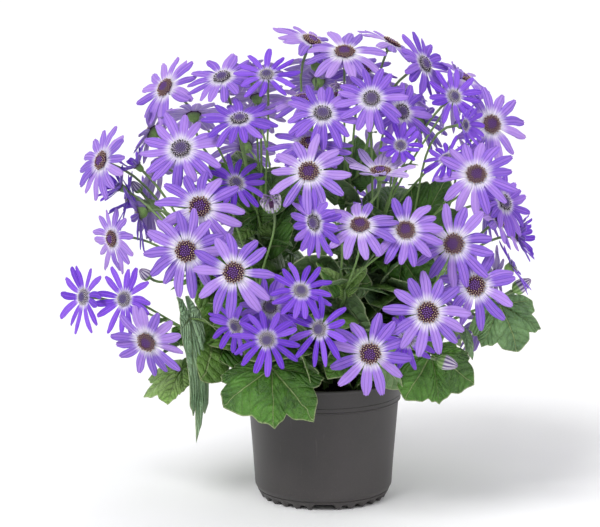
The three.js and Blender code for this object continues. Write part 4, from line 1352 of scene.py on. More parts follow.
@dataclass
class FlowerHeads:
    """All the flower heads: their petals, laid clear of each other, and their discs."""

    heads: list[Head]
    closed_floret: Piece
    open_floret: Piece
    rows: int = 8
    columns: int = 6
    trial_rows: int = 5
    trial_columns: int = 2
    florets: int = 84
    floret_size: float = 0.9
    dome_share: float = 0.055
    core_sides: int = 8
    cushion_sides: int = 14

    def petals(self, head: Head) -> list[Petal]:
        """The petals of a head, each a little different."""
        draw = np.random.default_rng(1000 + head.seed)
        bloom = head.bloom
        count = int(draw.integers(bloom.petals[0], bloom.petals[1] + 1))
        start = draw.uniform(0, 2 * math.pi)
        made = []
        for index in range(count):
            made.append(Petal(
                head=head,
                angle=start + (index + draw.uniform(-0.17, 0.17)) * 2 * math.pi / count,
                length=draw.uniform(0.9, 1.04),
                half_width=bloom.half_width * draw.uniform(0.92, 1.12),
                pitch=bloom.pitch + draw.uniform(-5, 5),
                curl=bloom.curl + draw.uniform(-9, 9),
                twist=draw.uniform(-14, 14),
                depth=0.25 + 0.42 * (index % 2) + draw.uniform(0, 0.1),
                hollow=draw.uniform(-0.5, 0.22),
                sway=draw.uniform(-7, 7),
                sag=draw.uniform(0.0, 0.16),
                chance=float(draw.random()),
            ))
        return made

    def core(self, head: Head) -> Obstacle:
        """The head's disc with its cup, as an obstacle."""
        spokes = head.out(round_angles(self.core_sides)) * head.reach * head.bloom.disc
        rings = [head.centre + head.facing * height + spokes * share
                 for height, share in ((-CUP_HEIGHT, 0.45), (-1.2, 0.9), (0.6, 1.0), (DISC_RISE, 0.4))]
        return Obstacle.of(np.array(rings), ring_faces(len(rings), self.core_sides), head.seed)

    def lay(self, fixed: list[Obstacle]) -> dict[int, list[tuple[Petal, Bend]]]:
        """Lays every petal clear of what is there already, front heads first.

        Args:
            fixed: Stems, stalks and leaves.

        Returns:
            Each head's petals with their bends, by the head's seed.
        """
        things = [*fixed, *(self.core(head) for head in self.heads)]
        faces = grid_faces(self.trial_rows + 1, self.trial_columns + 1)
        laid: dict[int, list[tuple[Petal, Bend]]] = {}
        for head in sorted(self.heads, key=lambda one: one.centre[1]):
            reach = head.reach * 1.05
            near = [thing for thing in things if thing.owner != head.seed
                    and np.linalg.norm(thing.middle - head.centre) < thing.radius + reach]
            chosen = []
            crowd = []
            for petal in self.petals(head):
                best, fewest = Bend(length=0.4), math.inf
                for bend in BENDS:
                    points = petal.surface(bend, self.trial_rows, self.trial_columns)
                    trial = BVHTree.FromPolygons(points.reshape(-1, 3).tolist(), faces)
                    hits = sum(len(trial.overlap(thing.tree)) for thing in near)
                    if hits < fewest:
                        best, fewest = bend, hits
                    if hits == 0:
                        break
                chosen.append((petal, best))
                crowd.append(petal.surface(best, self.trial_rows, self.trial_columns))
            laid[head.seed] = chosen
            size = (self.trial_rows + 1) * (self.trial_columns + 1)
            many = [[corner + size * turn for corner in face] for turn in range(len(crowd)) for face in faces]
            things.append(Obstacle.of(np.array(crowd), many, head.seed))
        return laid

    def rays(self, name: str, members: list[Head], laid: dict) -> Piece:
        """The petals and disc cushions of some heads, as one piece.

        Args:
            name: The piece's name.
            members: Its heads.
            laid: Each head's petals with their bends, by the head's seed.

        Returns:
            The piece.
        """
        shell = Shell()
        along = petal_steps(self.rows)
        maps = pairs(along, np.linspace(0, 1, self.columns + 1))
        for head in members:
            tone = head.bloom.tone + 0.16 * math.sin(head.seed * 2.4)
            for petal, bend in laid[head.seed]:
                top = petal.surface(bend, self.rows, self.columns)
                shell.sheet(top, Petal.THICKNESS, maps, tone=tone, chance=petal.chance)
            self.cushion(shell, head)
        return shell.make(name, [PETAL.material(), FLORET.material()])

    def disc_height(self, head: Head, share: Array | float) -> Array:
        """How high the disc's cushion stands at a share of its radius."""
        return head.reach * self.dome_share * (1 - np.asarray(share) ** 2.2) - 0.1

    def cushion(self, shell: Shell, head: Head) -> None:
        """Adds the domed cushion that the disc florets stand on."""
        radius = head.reach * head.bloom.disc * 0.95
        spokes = head.out(round_angles(self.cushion_sides)) * radius
        steps = [(0.5, -1.6), (0.98, -1.3)] + [
            (share, float(self.disc_height(head, share))) for share in (1.0, 0.8, 0.45, 0.12)]
        rings = np.array([head.centre + head.facing * height + spokes * share for share, height in steps])
        # The cushion takes the dark colour of the florets' feet: painted shade under and between the florets.
        shell.rings(rings, slot=1, tone=head.bloom.tone, shut=0.5, height=0.1)

    def discs(self, name: str, members: list[Head], tree: Scatter) -> Piece:
        """The disc florets of some heads, on a golden-angle spiral.

        Args:
            name: The piece's name.
            members: Its heads.
            tree: The Geometry Nodes tree that stands them.

        Returns:
            The piece.
        """
        points, ways, shut, size, tone, middle = [], [], [], [], [], []
        for head in members:
            radius = head.reach * head.bloom.disc
            for index in range(self.florets):
                share = math.sqrt((index + 0.4) / self.florets)
                angle = math.radians(index * GOLDEN_ANGLE) + head.seed
                out = head.out(angle)
                height = float(self.disc_height(head, share))
                points.append(head.centre + out * radius * share + head.facing * height)
                ways.append(unit(head.facing + out * 0.75 * share**1.5))
                shut.append(float(share < head.bloom.open_ring + 0.04 * math.sin(index * 2.4)))
                size.append(self.floret_size * radius / 8.0 * (1.0 + 0.22 * share))
                tone.append(head.bloom.tone)
                middle.append(float(smooth(1 - share, 0.25, 0.6)))
        mesh = bpy.data.meshes.new(name)
        mesh.from_pydata(np.array(points) * MM, [], [])
        for key, values in (("shut", shut), ("size", size), ("tone", tone), ("middle", middle)):
            mesh.attributes.new(name=key, type="FLOAT", domain="POINT").data.foreach_set("value", values)
        facing = mesh.attributes.new(name="facing", type="FLOAT_VECTOR", domain="POINT")
        facing.data.foreach_set("vector", np.array(ways, np.float32).ravel())
        carrier = into_scene(name + "_points", mesh)
        piece = tree.run(carrier, name, {
            "Closed Floret": self.closed_floret, "Open Floret": self.open_floret, "Size": 1.0, "Seed": 4})
        bpy.data.objects.remove(carrier)
        return piece


def floret_shapes() -> tuple[Piece, Piece]:
    """The closed bud and the open tube that disc florets are copied from."""
    made = []
    closed = [(0.45, 0.0, 0.0), (0.62, 0.55, 0.5), (0.5, 1.05, 0.85), (0.12, 1.35, 1.0)]
    opened = [(0.34, 0.0, 0.0), (0.7, 1.3, 0.85), (0.2, 1.15, 0.6),
              (0.17, 1.7, 0.9), (0.42, 1.85, 1.0), (0.1, 2.15, 1.0)]
    for name, profile in (("closed_floret", closed), ("open_floret", opened)):
        shell = Shell()
        rings = turned_rings([(radius, height) for radius, height, _ in profile], FLORET_SIDES)
        shell.rings(rings, height=np.repeat([level for _, _, level in profile], FLORET_SIDES))
        made.append(shell.make(name, [FLORET.material()]))
    return made[0], made[1]


@dataclass
class Blade:
    """A leaf blade: a heart with lobes and teeth, in polar form about the petiole's joint."""

    joint: Array
    heading: float
    rise: float
    roll: float
    length: float
    width: float
    teeth: int = LEAF_TEETH
    sinus: float = LEAF_SINUS
    fold: float = 0.1
    droop: float = 0.28
    tone: float = 0.0
    seed: int = 0
    steps_out: int = 15
    steps_per_tooth: int = 14
    small_teeth: float = 3.0
    creases: float = 3.6

    def __post_init__(self) -> None:
        """Works out which way the blade lies."""
        self.along = direction(self.heading, self.rise)
        self.level = turned(unit(np.cross(UP, self.along)), self.along, self.roll)
        self.over = np.cross(self.along, self.level)

    def surface(self, steps_out: int, steps_round: int) -> tuple[Array, Array]:
        """The blade's upper side as a grid, and its places on the leaf's map.

        Args:
            steps_out: Steps from the joint to the edge.
            steps_round: Steps from one side of the joint round to the other.

        Returns:
            A grid of points, and a grid of lobe number and share of the way out.
        """
        last = 2 * self.teeth - 2
        lobe = np.linspace(0, last, steps_round + 1)
        draw = np.random.default_rng(50 + self.seed)
        knots = np.arange(last + 1)
        reaches = np.interp(lobe, knots, draw.uniform(-0.05, 0.05, last + 1))
        depths = np.interp(lobe, knots, draw.uniform(0.1, 0.24, last + 1))
        shift = 0.35 * np.sin(lobe * 1.35 + draw.uniform(0, 6)) * np.sin(math.pi * lobe / last)
        turn = np.radians(self.sinus * (2 * (lobe + shift) / last - 1))
        near_tip = np.abs(np.mod(lobe, 2) - 1)
        near_tooth = np.abs(np.mod(self.small_teeth * lobe, 2) - 1)
        bite = 0.055 * near_tooth**1.5 * (0.65 + 0.35 * np.sin(lobe * 2.7 + self.seed))
        edge = 1.0 + reaches - depths * (0.7 * (1 - near_tip) ** 1.5 + 0.3 * (1 - near_tip**1.6)) + bite
        heart = (0.56 + 0.44 * np.cos(0.92 * turn)) * edge
        out = np.linspace(0.02, 1, steps_out + 1)[:, None]
        forward = out * self.length * heart * np.cos(turn)
        across = out * self.width * 1.25 * heart * np.sin(turn)
        aside = np.abs(np.mod(lobe / 2 + 0.5, 1) - 0.5) * 2
        sag = self.fold * np.abs(across) - self.droop * (forward**2 + across**2) / self.length
        size = min(self.length, 2 * self.width)
        wave = 0.035 * size * np.sin(lobe * 1.9 + self.seed) * out**2
        swell = np.sin(math.pi * np.minimum(out * 1.05, 1)) ** 0.7
        quilt = 0.05 * size * smooth(aside, 0.0, 0.6) * swell
        crease = 0.006 * size * np.sin(2 * math.pi * (out * self.creases - aside * 0.9))
        height = sag + wave + quilt + crease * smooth(aside, 0.0, 0.3) * smooth(out, 0.1, 0.4)
        points = (
            self.joint + self.along * forward[..., None] + self.level * across[..., None]
            + self.over * height[..., None]
        )
        maps = np.stack([np.broadcast_to(lobe / 2, points.shape[:2]),
                         np.broadcast_to(out, points.shape[:2])], -1)
        return points, maps

    def add_to(self, shell: Shell, slot: int, thickness: float = LEAF_THICKNESS * 0.7) -> None:
        """Adds the blade to a shell."""
        points, maps = self.surface(self.steps_out, self.steps_per_tooth * (self.teeth - 1))
        shell.sheet(points, thickness, maps, slot, tone=self.tone)

    def obstacle(self) -> Obstacle:
        """The blade as something to keep clear of."""
        points, _ = self.surface(3, 2 * self.teeth)
        return Obstacle.of(points, grid_faces(*points.shape[:2]), "leaf")


@dataclass
class LargeLeaf:
    """A large leaf on its own petiole."""

    name: str
    blade: Blade
    petiole_steps: int = 18

    def petiole(self) -> Curve:
        """The curve of its petiole, from the soil to the blade."""
        joint = self.blade.joint
        foot = direction(heading_of(joint), 0) * PETIOLE_CIRCLE + UP * ROOT_TOP
        end = joint + self.blade.along * 5 - self.blade.over * (LEAF_THICKNESS / 2 + 0.6)
        climb = np.array([foot[0], foot[1], POT_HEIGHT + 14])
        return Curve(foot, climb, joint - self.blade.along * 16, end)

    def make(self) -> Piece:
        """Makes the leaf as one piece."""
        shell = Shell()
        self.blade.add_to(shell, 0)
        curve = self.petiole()
        shares = np.linspace(0, 1, self.petiole_steps)
        centres = np.concatenate([[curve.along(0) - UP * (ROOT_LENGTH - 6)], curve.along(shares)])
        radii = PETIOLE_RADIUS * np.concatenate([[0.9], 1 - 0.45 * shares])
        shell.tube(centres, radii, 10, slot=1, ribs=5, rib_depth=0.08, flush=0.15)
        return shell.make("leaf_blade_" + self.name, [LEAF.material(), STEM.material()])


@dataclass
class Plant:
    """Where everything grows: sprays of heads, stems, stalks and leaves."""

    sprays: dict[str, list[Head]] = field(default_factory=dict)
    heads: list[Head] = field(default_factory=list)

    def __post_init__(self) -> None:
        """Reads the sprays, with the heads on the back added by rule."""
        rows = [row for crowd in SPRAYS.values() for row in crowd]
        behind = self.back_rows(rows)
        every = {
            **SPRAYS,
            "backLeft": [row for row in behind if row[0] < 0],
            "backRight": [row for row in behind if row[0] >= 0],
        }
        for name, crowd in every.items():
            self.sprays[name] = []
            for x, y, z, heading, rise, reach, age in crowd:
                head = Head(np.array([x, y, z], float), heading, rise, reach, Age(age), len(self.heads) + 1)
                self.sprays[name].append(head)
                self.heads.append(head)

    @staticmethod
    def back_rows(rows: list[tuple]) -> list[tuple]:
        """Walks down the dome by the golden angle, and keeps the places that have room.

        Args:
            rows: The heads that are there already.

        Returns:
            The rows of the heads on the back.
        """
        kept: list[tuple] = []

        def apart(spot: Array, distance: float) -> bool:
            """Whether a place is farther than a distance from every head."""
            return all(np.linalg.norm(spot - np.array(row[:3])) > distance for row in [*rows, *kept])

        def keep(spot: Array, facing: Array) -> None:
            """Keeps a head at a place, looking a given way."""
            heading = nearest_whole(heading_of(facing))
            rise = nearest_whole(math.degrees(math.asin(facing[2])))
            place = [nearest_whole(part) for part in spot]
            kept.append((*place, heading, rise, 30 + len(kept) % 3, BACK_AGES[len(kept) % 4]))

        for step in range(1, BACK_WALK):
            out = direction(step * GOLDEN_ANGLE, 88 - 98 * step / BACK_WALK)
            spot = out * DOME_SIZE + DOME_CENTRE
            if spot[1] < BACK_FRONT or not apart(spot, BACK_SPACING):
                continue
            level = unit(np.cross(out, UP))
            mate, lean = None, None
            for turn in (90, -90, 150, 30):
                way = turned(level, out, turn)
                beside = spot + way * MATE_DISTANCE - out * 5
                if beside[1] > BACK_FRONT and beside[2] > BACK_LOWEST and apart(beside, MATE_SPACING):
                    mate, lean = beside, unit(out + way * MATE_LEAN)
                    break
            keep(spot, out)
            if mate is not None:
                keep(mate, lean)
        return kept

    def fork(self, spray: str) -> Array:
        """Where a spray's stem ends."""
        middle = np.mean([head.centre for head in self.sprays[spray]], axis=0)
        return UP * SOIL_CROWN + (middle - UP * SOIL_CROWN) * FORK_SHARE

    def crowd(self, spray: str) -> list[Head]:
        """The spray's heads and buds."""
        buds = [
            Head(np.array([x, y, z], float), heading, rise, 0, Age.OPENING, 0, size, form)
            for name, x, y, z, heading, rise, size, form in BUDS if name == spray
        ]
        return [*self.sprays[spray], *buds]

    def branches(self, stem: str) -> list[tuple[str, Curve, bool]]:
        """The curves of a stem: its trunk, and a branch for a second spray.

        Args:
            stem: The stem's name.

        Returns:
            For each curve its spray's name, the curve, and whether it is the trunk.
        """
        heading, radius, names = STEMS[stem]
        foot = direction(heading, 0) * radius + UP * ROOT_TOP
        made: list[tuple[str, Curve, bool]] = []
        for name in sorted(names, key=lambda one: -self.fork(one)[2]):
            fork = self.fork(name)
            start = made[0][1].on_runs(STEM_RUNS, 0.3) if made else foot
            rise = (fork[2] - start[2]) * 0.5
            curve = Curve(start, start + UP * rise * (0.4 if made else 1.0), fork - UP * rise * 0.6, fork)
            made.append((name, curve, not made))
        return made

    def stalk(self, start: Array, rootway: Array, head: Head) -> Curve:
        """A stalk's curve that keeps clear of the other heads where it can.

        Args:
            start: Where it leaves the stem.
            rootway: The stem's direction there.
            head: The head or bud that it carries.

        Returns:
            The curve.
        """
        end = head.seat()
        span = float(np.linalg.norm(end - start))
        leaving = unit(unit(end - start) * 2 + rootway)
        sideways = unit(np.cross(UP, rootway))
        first_made = None
        for sway in (0, 0.2, -0.2, 0.35, -0.35, 0.5, -0.5):
            first = start + leaving * span * 0.4 + sideways * span * sway
            second = end - head.facing * span * 0.35 + sideways * span * sway * 0.5
            lastway = end - head.facing * min(12, span * 0.3)
            curve = Curve(start, first, second + (lastway - second) * (0.4 if sway else 0.0), end)
            first_made = first_made or curve
            spots = curve.at(np.linspace(0, 1, 13))
            if all(other is head or np.linalg.norm(spots - other.centre, axis=1).min() > HEAD_BERTH
                   for other in self.heads):
                return curve
        return first_made


@dataclass
class Greens:
    """Stems with their stalks, cups, buds and small leaves."""

    plant: Plant
    trunk_sides: int = 15
    stalk_sides: int = 8
    trunk_steps: int = 26
    stalk_steps: int = 14
    leaf_shares: tuple[float, ...] = (0.16, 0.28, 0.39, 0.5, 0.6, 0.7, 0.8, 0.9)
    leaf_rises: tuple[float, ...] = (48.0, -45.0, 55.0, 14.0, -55.0, 45.0, -50.0, 58.0)
    leaf_rolls: tuple[float, ...] = (35.0, -25.0, -40.0, 0.0, 30.0, 45.0, -35.0, 20.0)
    obstacles: list[Obstacle] = field(default_factory=list)

    CUP = ((0.0, 0.95), (0.5, 1.9), (1.3, 3.3), (2.6, 4.2), (4.6, 4.6), (6.6, 4.9), (7.3, 5.5), (7.1, 4.2))
    BUD = (
        (0.0, 0.25), (0.9, 0.62), (2.2, 0.92), (4.4, 1.0), (6.8, 0.9), (9.2, 0.66), (11.2, 0.36), (12.0, 0.1))
    CUP_SIDES = 26
    BUD_STRIPES = 10
    BUD_SIDES = 40
    CURLS = 13

    def stalk_rings(self, curve: Curve, shell: Shell, head: Head) -> None:
        """Adds one stalk, with an obstacle for the petals of other heads."""
        shares = np.linspace(0, 1, self.stalk_steps)
        centres = curve.along(shares)
        radii = STALK_RADIUS * (1.15 - 0.25 * np.sin(math.pi * shares))
        flush = 0.5 * smooth(shares, 0.55, 1.0)
        shell.tube(centres, radii, self.stalk_sides, ribs=4, rib_depth=0.06, flush=flush)
        few = curve.along(np.linspace(0, 1, 7))
        side = unit(np.cross(np.gradient(few, axis=0), UP + 0.01)) * STALK_RADIUS
        strip = np.stack([few - side, few + side], axis=1)
        self.obstacles.append(Obstacle.of(strip, grid_faces(7, 2), head.seed))

    def cup(self, shell: Shell, head: Head) -> None:
        """Adds the cup of bracts under a head."""
        angles = round_angles(self.CUP_SIDES)
        bract = np.cos(angles * self.CUP_SIDES / 2)
        heights = np.array([height for height, _ in self.CUP])
        radii = np.array([radius for _, radius in self.CUP]) * min(1.0, head.reach / 30)
        ridge = 1 + 0.035 * bract * smooth(heights, 0.5, 3)[:, None]
        tip = 0.5 * (bract - 1) * smooth(heights, 5.0, 7.3)[:, None]
        spokes = head.out(-angles)
        rings = (
            head.seat() + spokes[None] * (radii[:, None] * ridge)[..., None]
            + head.facing * (heights[:, None] + tip)[..., None]
        )
        maps = pairs(heights / 7, np.arange(self.CUP_SIDES) / 2.0)
        flush = np.repeat(0.6 * smooth(heights, 4.5, 7.2), self.CUP_SIDES)
        shell.rings(rings[:, ::-1], maps, slot=0, flush=flush)

    def bud(self, shell: Shell, head: Head) -> None:
        """Adds a bud: closed and small, closed and striped, or with its first petals curled over it."""
        closed = head.form != "curled"
        stretch = 1.45 if head.form == "striped" else 1.0
        profile = self.BUD if closed else self.BUD[:4] + ((6.0, 0.86), (6.8, 0.5), (7.2, 0.1))
        heights = np.array([height for height, _ in profile]) * stretch
        radii = np.array([share for _, share in profile]) * head.size * (1.16 if closed else 1.3)
        sides = self.BUD_SIDES
        angles = round_angles(sides)
        stripe = np.cos(angles * self.BUD_STRIPES)
        ridge = 1 + 0.05 * stripe * smooth(heights, 1.0, 4.0)[:, None]
        rings = (
            head.seat() + head.out(angles)[None] * (radii[:, None] * ridge)[..., None]
            + head.facing * np.repeat(heights[:, None], sides, axis=1)[..., None]
        )
        maps = pairs(heights / heights[-1], angles)
        striped = np.tile(0.5 + 0.5 * stripe, len(heights))
        shell.rings(rings, maps, slot=1, stripe=striped)
        if closed:
            return
        dome = [(5.2, 0.95), (6.9, 0.8), (8.0, 0.45), (8.3, 0.1)]
        rings = np.array([head.seat() + head.out(angles) * head.size * share + head.facing * height
                          for height, share in dome])
        shell.rings(rings, slot=2, shut=0.2, height=0.5)
        shares = np.linspace(0, 1, 8)
        for spike in range(self.CURLS):
            odd = spike % 2
            curl = 1.25 + (0.45 + 0.2 * odd) * np.sin(shares * 2.2) - (1.1 + 0.5 * (spike % 3)) * shares**2.4
            rise = 3.5 + (9.5 + 2.5 * odd) * np.sin(shares * 1.75)
            out = head.out(spike * 2 * math.pi / self.CURLS + 0.5 * shares * (1 if odd else -0.4))
            spots = head.seat() + out * (head.size * curl)[:, None] + head.facing * rise[:, None]
            radii = np.array([0.55, 0.85, 0.95, 0.9, 0.8, 0.65, 0.5, 0.2])
            shell.tube(spots, radii, 6, slot=1, stripe=np.linspace(1.0, 0.35, len(shares)))

    def small_leaf(self, shell: Shell, curve: Curve, share: float, index: int, fork: Array) -> None:
        """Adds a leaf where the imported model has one, or one of another size at another height.

        Args:
            shell: Where to add it.
            curve: The stem's curve.
            share: The share of the way up.
            index: Which leaf of the stem it is.
            fork: The end of the stem.
        """
        packed = abs(share - 0.5) < 1e-6
        outward = nearest_whole(heading_of(fork))
        length = STEM_LEAF if packed else STEM_LEAF * (1.15 - 0.5 * share)
        joint = curve.on_runs(STEM_RUNS, share)
        lowest = -math.degrees(math.asin(np.clip((joint[2] - POT_HEIGHT - 12) / length, -0.2, 0.9)))
        blade = Blade(
            joint=joint,
            heading=outward - 20 + (0 if packed else index * GOLDEN_ANGLE),
            rise=14 if packed else max(self.leaf_rises[index % len(self.leaf_rises)], lowest),
            roll=self.leaf_rolls[index % len(self.leaf_rolls)], length=length,
            width=length * (0.6 if packed else 0.72), teeth=3, sinus=95,
            fold=0.12, droop=0.3, tone=0.4 * (index % 3) - 0.45, seed=index + int(fork[2]),
            steps_out=8, steps_per_tooth=12, creases=1.8,
        )
        self.hang(shell, blade)

    def shown_leaf(self, shell: Shell, curve: Curve, row: tuple, seed: int) -> None:
        """Adds one of the leaves that show among the flowers."""
        _, share, heading, rise, roll, length, width, teeth, tone = row
        blade = Blade(
            joint=curve.on_runs(STEM_RUNS, share), heading=heading, rise=rise, roll=roll, length=length,
            width=length * width, teeth=teeth, sinus=60 + 14 * teeth, fold=0.16, droop=0.22, tone=tone,
            seed=40 + seed, steps_out=10, steps_per_tooth=16, creases=2.2,
        )
        self.hang(shell, blade)

    def hang(self, shell: Shell, blade: Blade) -> None:
        """Adds a thin blade, with an obstacle for the petals."""
        blade.add_to(shell, 0, LEAF_THICKNESS * 0.6)
        self.obstacles.append(blade.obstacle())

    def bract(self, shell: Shell, root: Array, way: Array, size: float, seed: int) -> None:
        """Adds a small pointed leaf under a stalk.

        Args:
            shell: Where to add it.
            root: Where the stalk leaves the stem.
            way: The stalk's direction there.
            size: The leaf's length.
            seed: What makes it differ from the others.
        """
        draw = np.random.default_rng(300 + seed)
        along = unit(way * 0.5 + direction(draw.uniform(0, 360), draw.uniform(-30, 10)))
        level = unit(np.cross(UP, along) + 1e-6)
        over = np.cross(along, level)
        out = np.linspace(0, 1, 7)[:, None]
        across = np.linspace(-1, 1, 5)[None, :]
        half = size * 0.24 * np.sin(math.pi * np.clip(out * 0.9 + 0.1, 0, 1)) ** 0.8
        sag = 0.35 * half * np.abs(across) - 0.35 * size * out**2
        points = root + along * (out * size + 0 * across)[..., None] + level * (half * across)[..., None]
        maps = np.stack([across * 0.3 + 0 * out, out + 0 * across], -1)
        points = points + over * sag[..., None]
        shell.sheet(points, 0.4, maps, tone=-0.2)
        self.obstacles.append(Obstacle.of(points, grid_faces(*points.shape[:2]), "leaf"))

    def make(self, stem_names: list[str], label: str) -> tuple[Piece, Piece]:
        """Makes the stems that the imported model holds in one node.

        Args:
            stem_names: The stems.
            label: What the pieces' names end in.

        Returns:
            The piece of stems, stalks, cups and buds, and the piece of small leaves.
        """
        green, leaves = Shell(), Shell()
        for stem in stem_names:
            for spray, curve, is_trunk in self.plant.branches(stem):
                shares = np.linspace(0, 1, self.trunk_steps)
                centres = curve.along(shares)
                radii = STEM_RADIUS * (1.05 - 0.35 * shares)
                if is_trunk:
                    centres = np.concatenate([[centres[0] - UP * (ROOT_LENGTH - 6)], centres])
                    radii = np.concatenate([[STEM_RADIUS], radii])
                green.tube(centres, radii, self.trunk_sides, ribs=5, rib_depth=0.09,
                           flush=0.25 * smooth(np.linspace(0, 1, len(radii)), 0.0, 0.2))
                crowd = self.plant.crowd(spray)
                for index, head in enumerate(crowd):
                    share = FIRST_STALK + (LAST_STALK - FIRST_STALK) * index / max(1, len(crowd) - 1)
                    root = curve.on_runs(STEM_RUNS, share)
                    path = self.plant.stalk(root, curve.tangent(share), head)
                    self.stalk_rings(path, green, head)
                    self.bract(leaves, root, path.tangent(0.1), 20 + 7 * (index % 3), head.seed + index)
                    if index % 2:
                        self.bract(leaves, path.along(0.5), path.tangent(0.5), 14, head.seed + index)
                    if head.size:
                        self.bud(green, head)
                    else:
                        self.cup(green, head)
                for index, share in enumerate(self.leaf_shares):
                    self.small_leaf(leaves, curve, share, index, self.plant.fork(spray))
                for seed, row in enumerate(SHOWN_LEAVES):
                    if row[0] == spray:
                        self.shown_leaf(leaves, curve, row, seed)
        return (
            green.make("stems_" + label, [STEM.material(), BUD.material(), FLORET.material()]),
            leaves.make("stem_leaves_" + label, [LEAF.material()]),
        )


@dataclass
class NurseryPot:
    """The moulded pot: collar, tapered body, groove, scalloped foot and drain holes."""

    sides: int = 168
    drains: int = 4
    drain_sides: int = 24
    sharp_angle: float = 38.0

    def profile(self) -> list[tuple[float, float]]:
        """Radius and height from the middle of the floor, up outside, over the rim and down inside."""
        neck = POT_HEIGHT - POT_COLLAR
        rim, wall, top = POT_RIM_RADIUS, POT_WALL, POT_HEIGHT
        foot, waist, throat = POT_FOOT_RADIUS, POT_WAIST_RADIUS, POT_NECK_RADIUS
        return [
            (0.5, 0.0), (PAD_RADIUS, 0.0), (PAD_RADIUS + 4, 4.0), (foot - 7.5, 4.0), (foot - 5.5, 0.0),
            (foot - 2.5, 0.0), (foot - 0.6, 0.0), (foot, 0.5), (foot + 0.9, 2.2), (foot + 2, 4.2),
            (foot + 3.1, 6.5), (foot + 3.35, 7.1), (foot + 2.95, 7.4), (foot + 3.0, 7.8),
            (foot + 3.75, 8.2), (waist - 0.75, 10.2), (waist - 0.35, 11.2),
            (waist - 0.15, 12.8), (waist + 0.1, 18),
            (waist + 1.2, 34), (waist + 2.6, 52), (waist + 3.9, 68),
            (throat, neck - 1.6), (throat + 0.3, neck - 1.0), (rim - 1.1, neck - 0.3),
            (rim - 0.7, neck + 0.1), (rim - 0.65, neck + 0.6), (rim - 0.95, neck + 0.95),
            (rim - 0.8, neck + 1.6), (rim - 0.7, neck + 3.5), (rim - 0.42, neck + 3.8),
            (rim - 0.42, neck + 4.2), (rim - 0.68, neck + 4.5), (rim - 0.6, neck + 8),
            (rim - 0.55, top - 3.2), (rim - 0.5, top - 2.7), (rim - 0.12, top - 2.2),
            (rim, top - 1.6), (rim - 0.08, top - 0.9), (rim - 0.4, top - 0.3),
            (rim - 0.9, top), (rim - wall + 0.3, top - 0.15), (rim - wall, top - 0.7),
            (rim - wall - 0.4, neck + 6), (throat - wall, neck - 1),
            (waist - wall + 2, 50), (waist - wall, 17), (foot + 0.6, POT_FLOOR),
            (0.5, POT_FLOOR),
        ]

    def rise(self, side: int) -> float:
        """How far the foot's lower edge is cut up on one side of the turned shape."""
        feet = FEET_ROUND / self.sides * side
        in_quarter = (feet * 2) % 14
        near_gap = min(in_quarter, 14 - in_quarter)
        wide = 1.35 * FOOT_GAP_RISE * float(1 - smooth(near_gap, 1.25, 2.1))
        dip = abs(math.sin(math.pi * in_quarter / 2))
        return max(wide, 1.35 * FOOT_RISE * float(smooth(dip, 0.3, 0.9)))

    def make(self) -> Piece:
        """Makes the pot as one piece, with its drain holes cut."""
        rings = turned_rings(self.profile(), self.sides)
        for side in range(self.sides):
            lift = self.rise(side)
            for ring, share in ((4, 1.0), (5, 1.0), (6, 1.0), (7, 1.0), (8, 0.72), (9, 0.4)):
                rings[ring, side, 2] += lift * share
        shell = Shell()
        shell.rings(rings)
        pot = shell.make("pot_shell", [PLASTIC.material()])
        holes = Shell()
        for index in range(self.drains):
            centre = direction(index * 360 / self.drains, 0) * DRAIN_CIRCLE
            drill = turned_rings([(DRAIN_RADIUS, -2), (DRAIN_RADIUS, POT_FLOOR + 2)], self.drain_sides)
            holes.rings(drill + centre)
        cutter = holes.make("drain_drill", [PLASTIC.material()])
        cut = pot.modifiers.new("Drain holes", "BOOLEAN")
        cut.object = cutter
        cut.solver = "EXACT"
        mesh = after_modifiers(pot)
        pot.modifiers.remove(cut)
        pot.data = mesh
        bpy.data.objects.remove(cutter)
        mesh.set_sharp_from_angle(angle=math.radians(self.sharp_angle))
        return pot


@dataclass
class Soil:
    """The potting soil: an uneven crown of peat with loose crumbs."""

    sides: int = 72
    rings_in: int = 22
    waves: int = 60
    wave_height: float = 0.12

    def make(self) -> Piece:
        """Makes the body of soil as one piece."""
        wall = POT_WALL + 0.45
        neck = POT_HEIGHT - POT_COLLAR - 1
        edge = POT_NECK_RADIUS - wall
        profile = [(0.5, POT_FLOOR + 0.3), (POT_FOOT_RADIUS - 0.5, POT_FLOOR + 0.3),
                   (POT_WAIST_RADIUS - wall - 0.2, 17), (edge - 0.1, neck), (edge, SOIL_EDGE)]
        crown = np.linspace(0.97, 0.01, self.rings_in)
        rise = SOIL_CROWN - SOIL_EDGE
        profile += [(edge * share, SOIL_EDGE + rise * (1 - share**1.7)) for share in crown]
        rings = turned_rings(profile, self.sides)
        draw = np.random.default_rng(5)
        top = rings[5:]
        lumps = np.zeros(top.shape[:2])
        for _ in range(self.waves):
            wave, phase = draw.uniform(-0.5, 0.5, 2), draw.uniform(0, 6.3)
            lumps += np.sin(top[..., 0] * wave[0] + top[..., 1] * wave[1] + phase)
        share = np.hypot(top[..., 0], top[..., 1]) / edge
        rings[5:, :, 2] += lumps * self.wave_height * smooth(1 - share, 0.0, 0.08) * smooth(share, 0.02, 0.1)
        shell = Shell()
        shell.rings(rings)
        return shell.make("peat", [PEAT.material()])


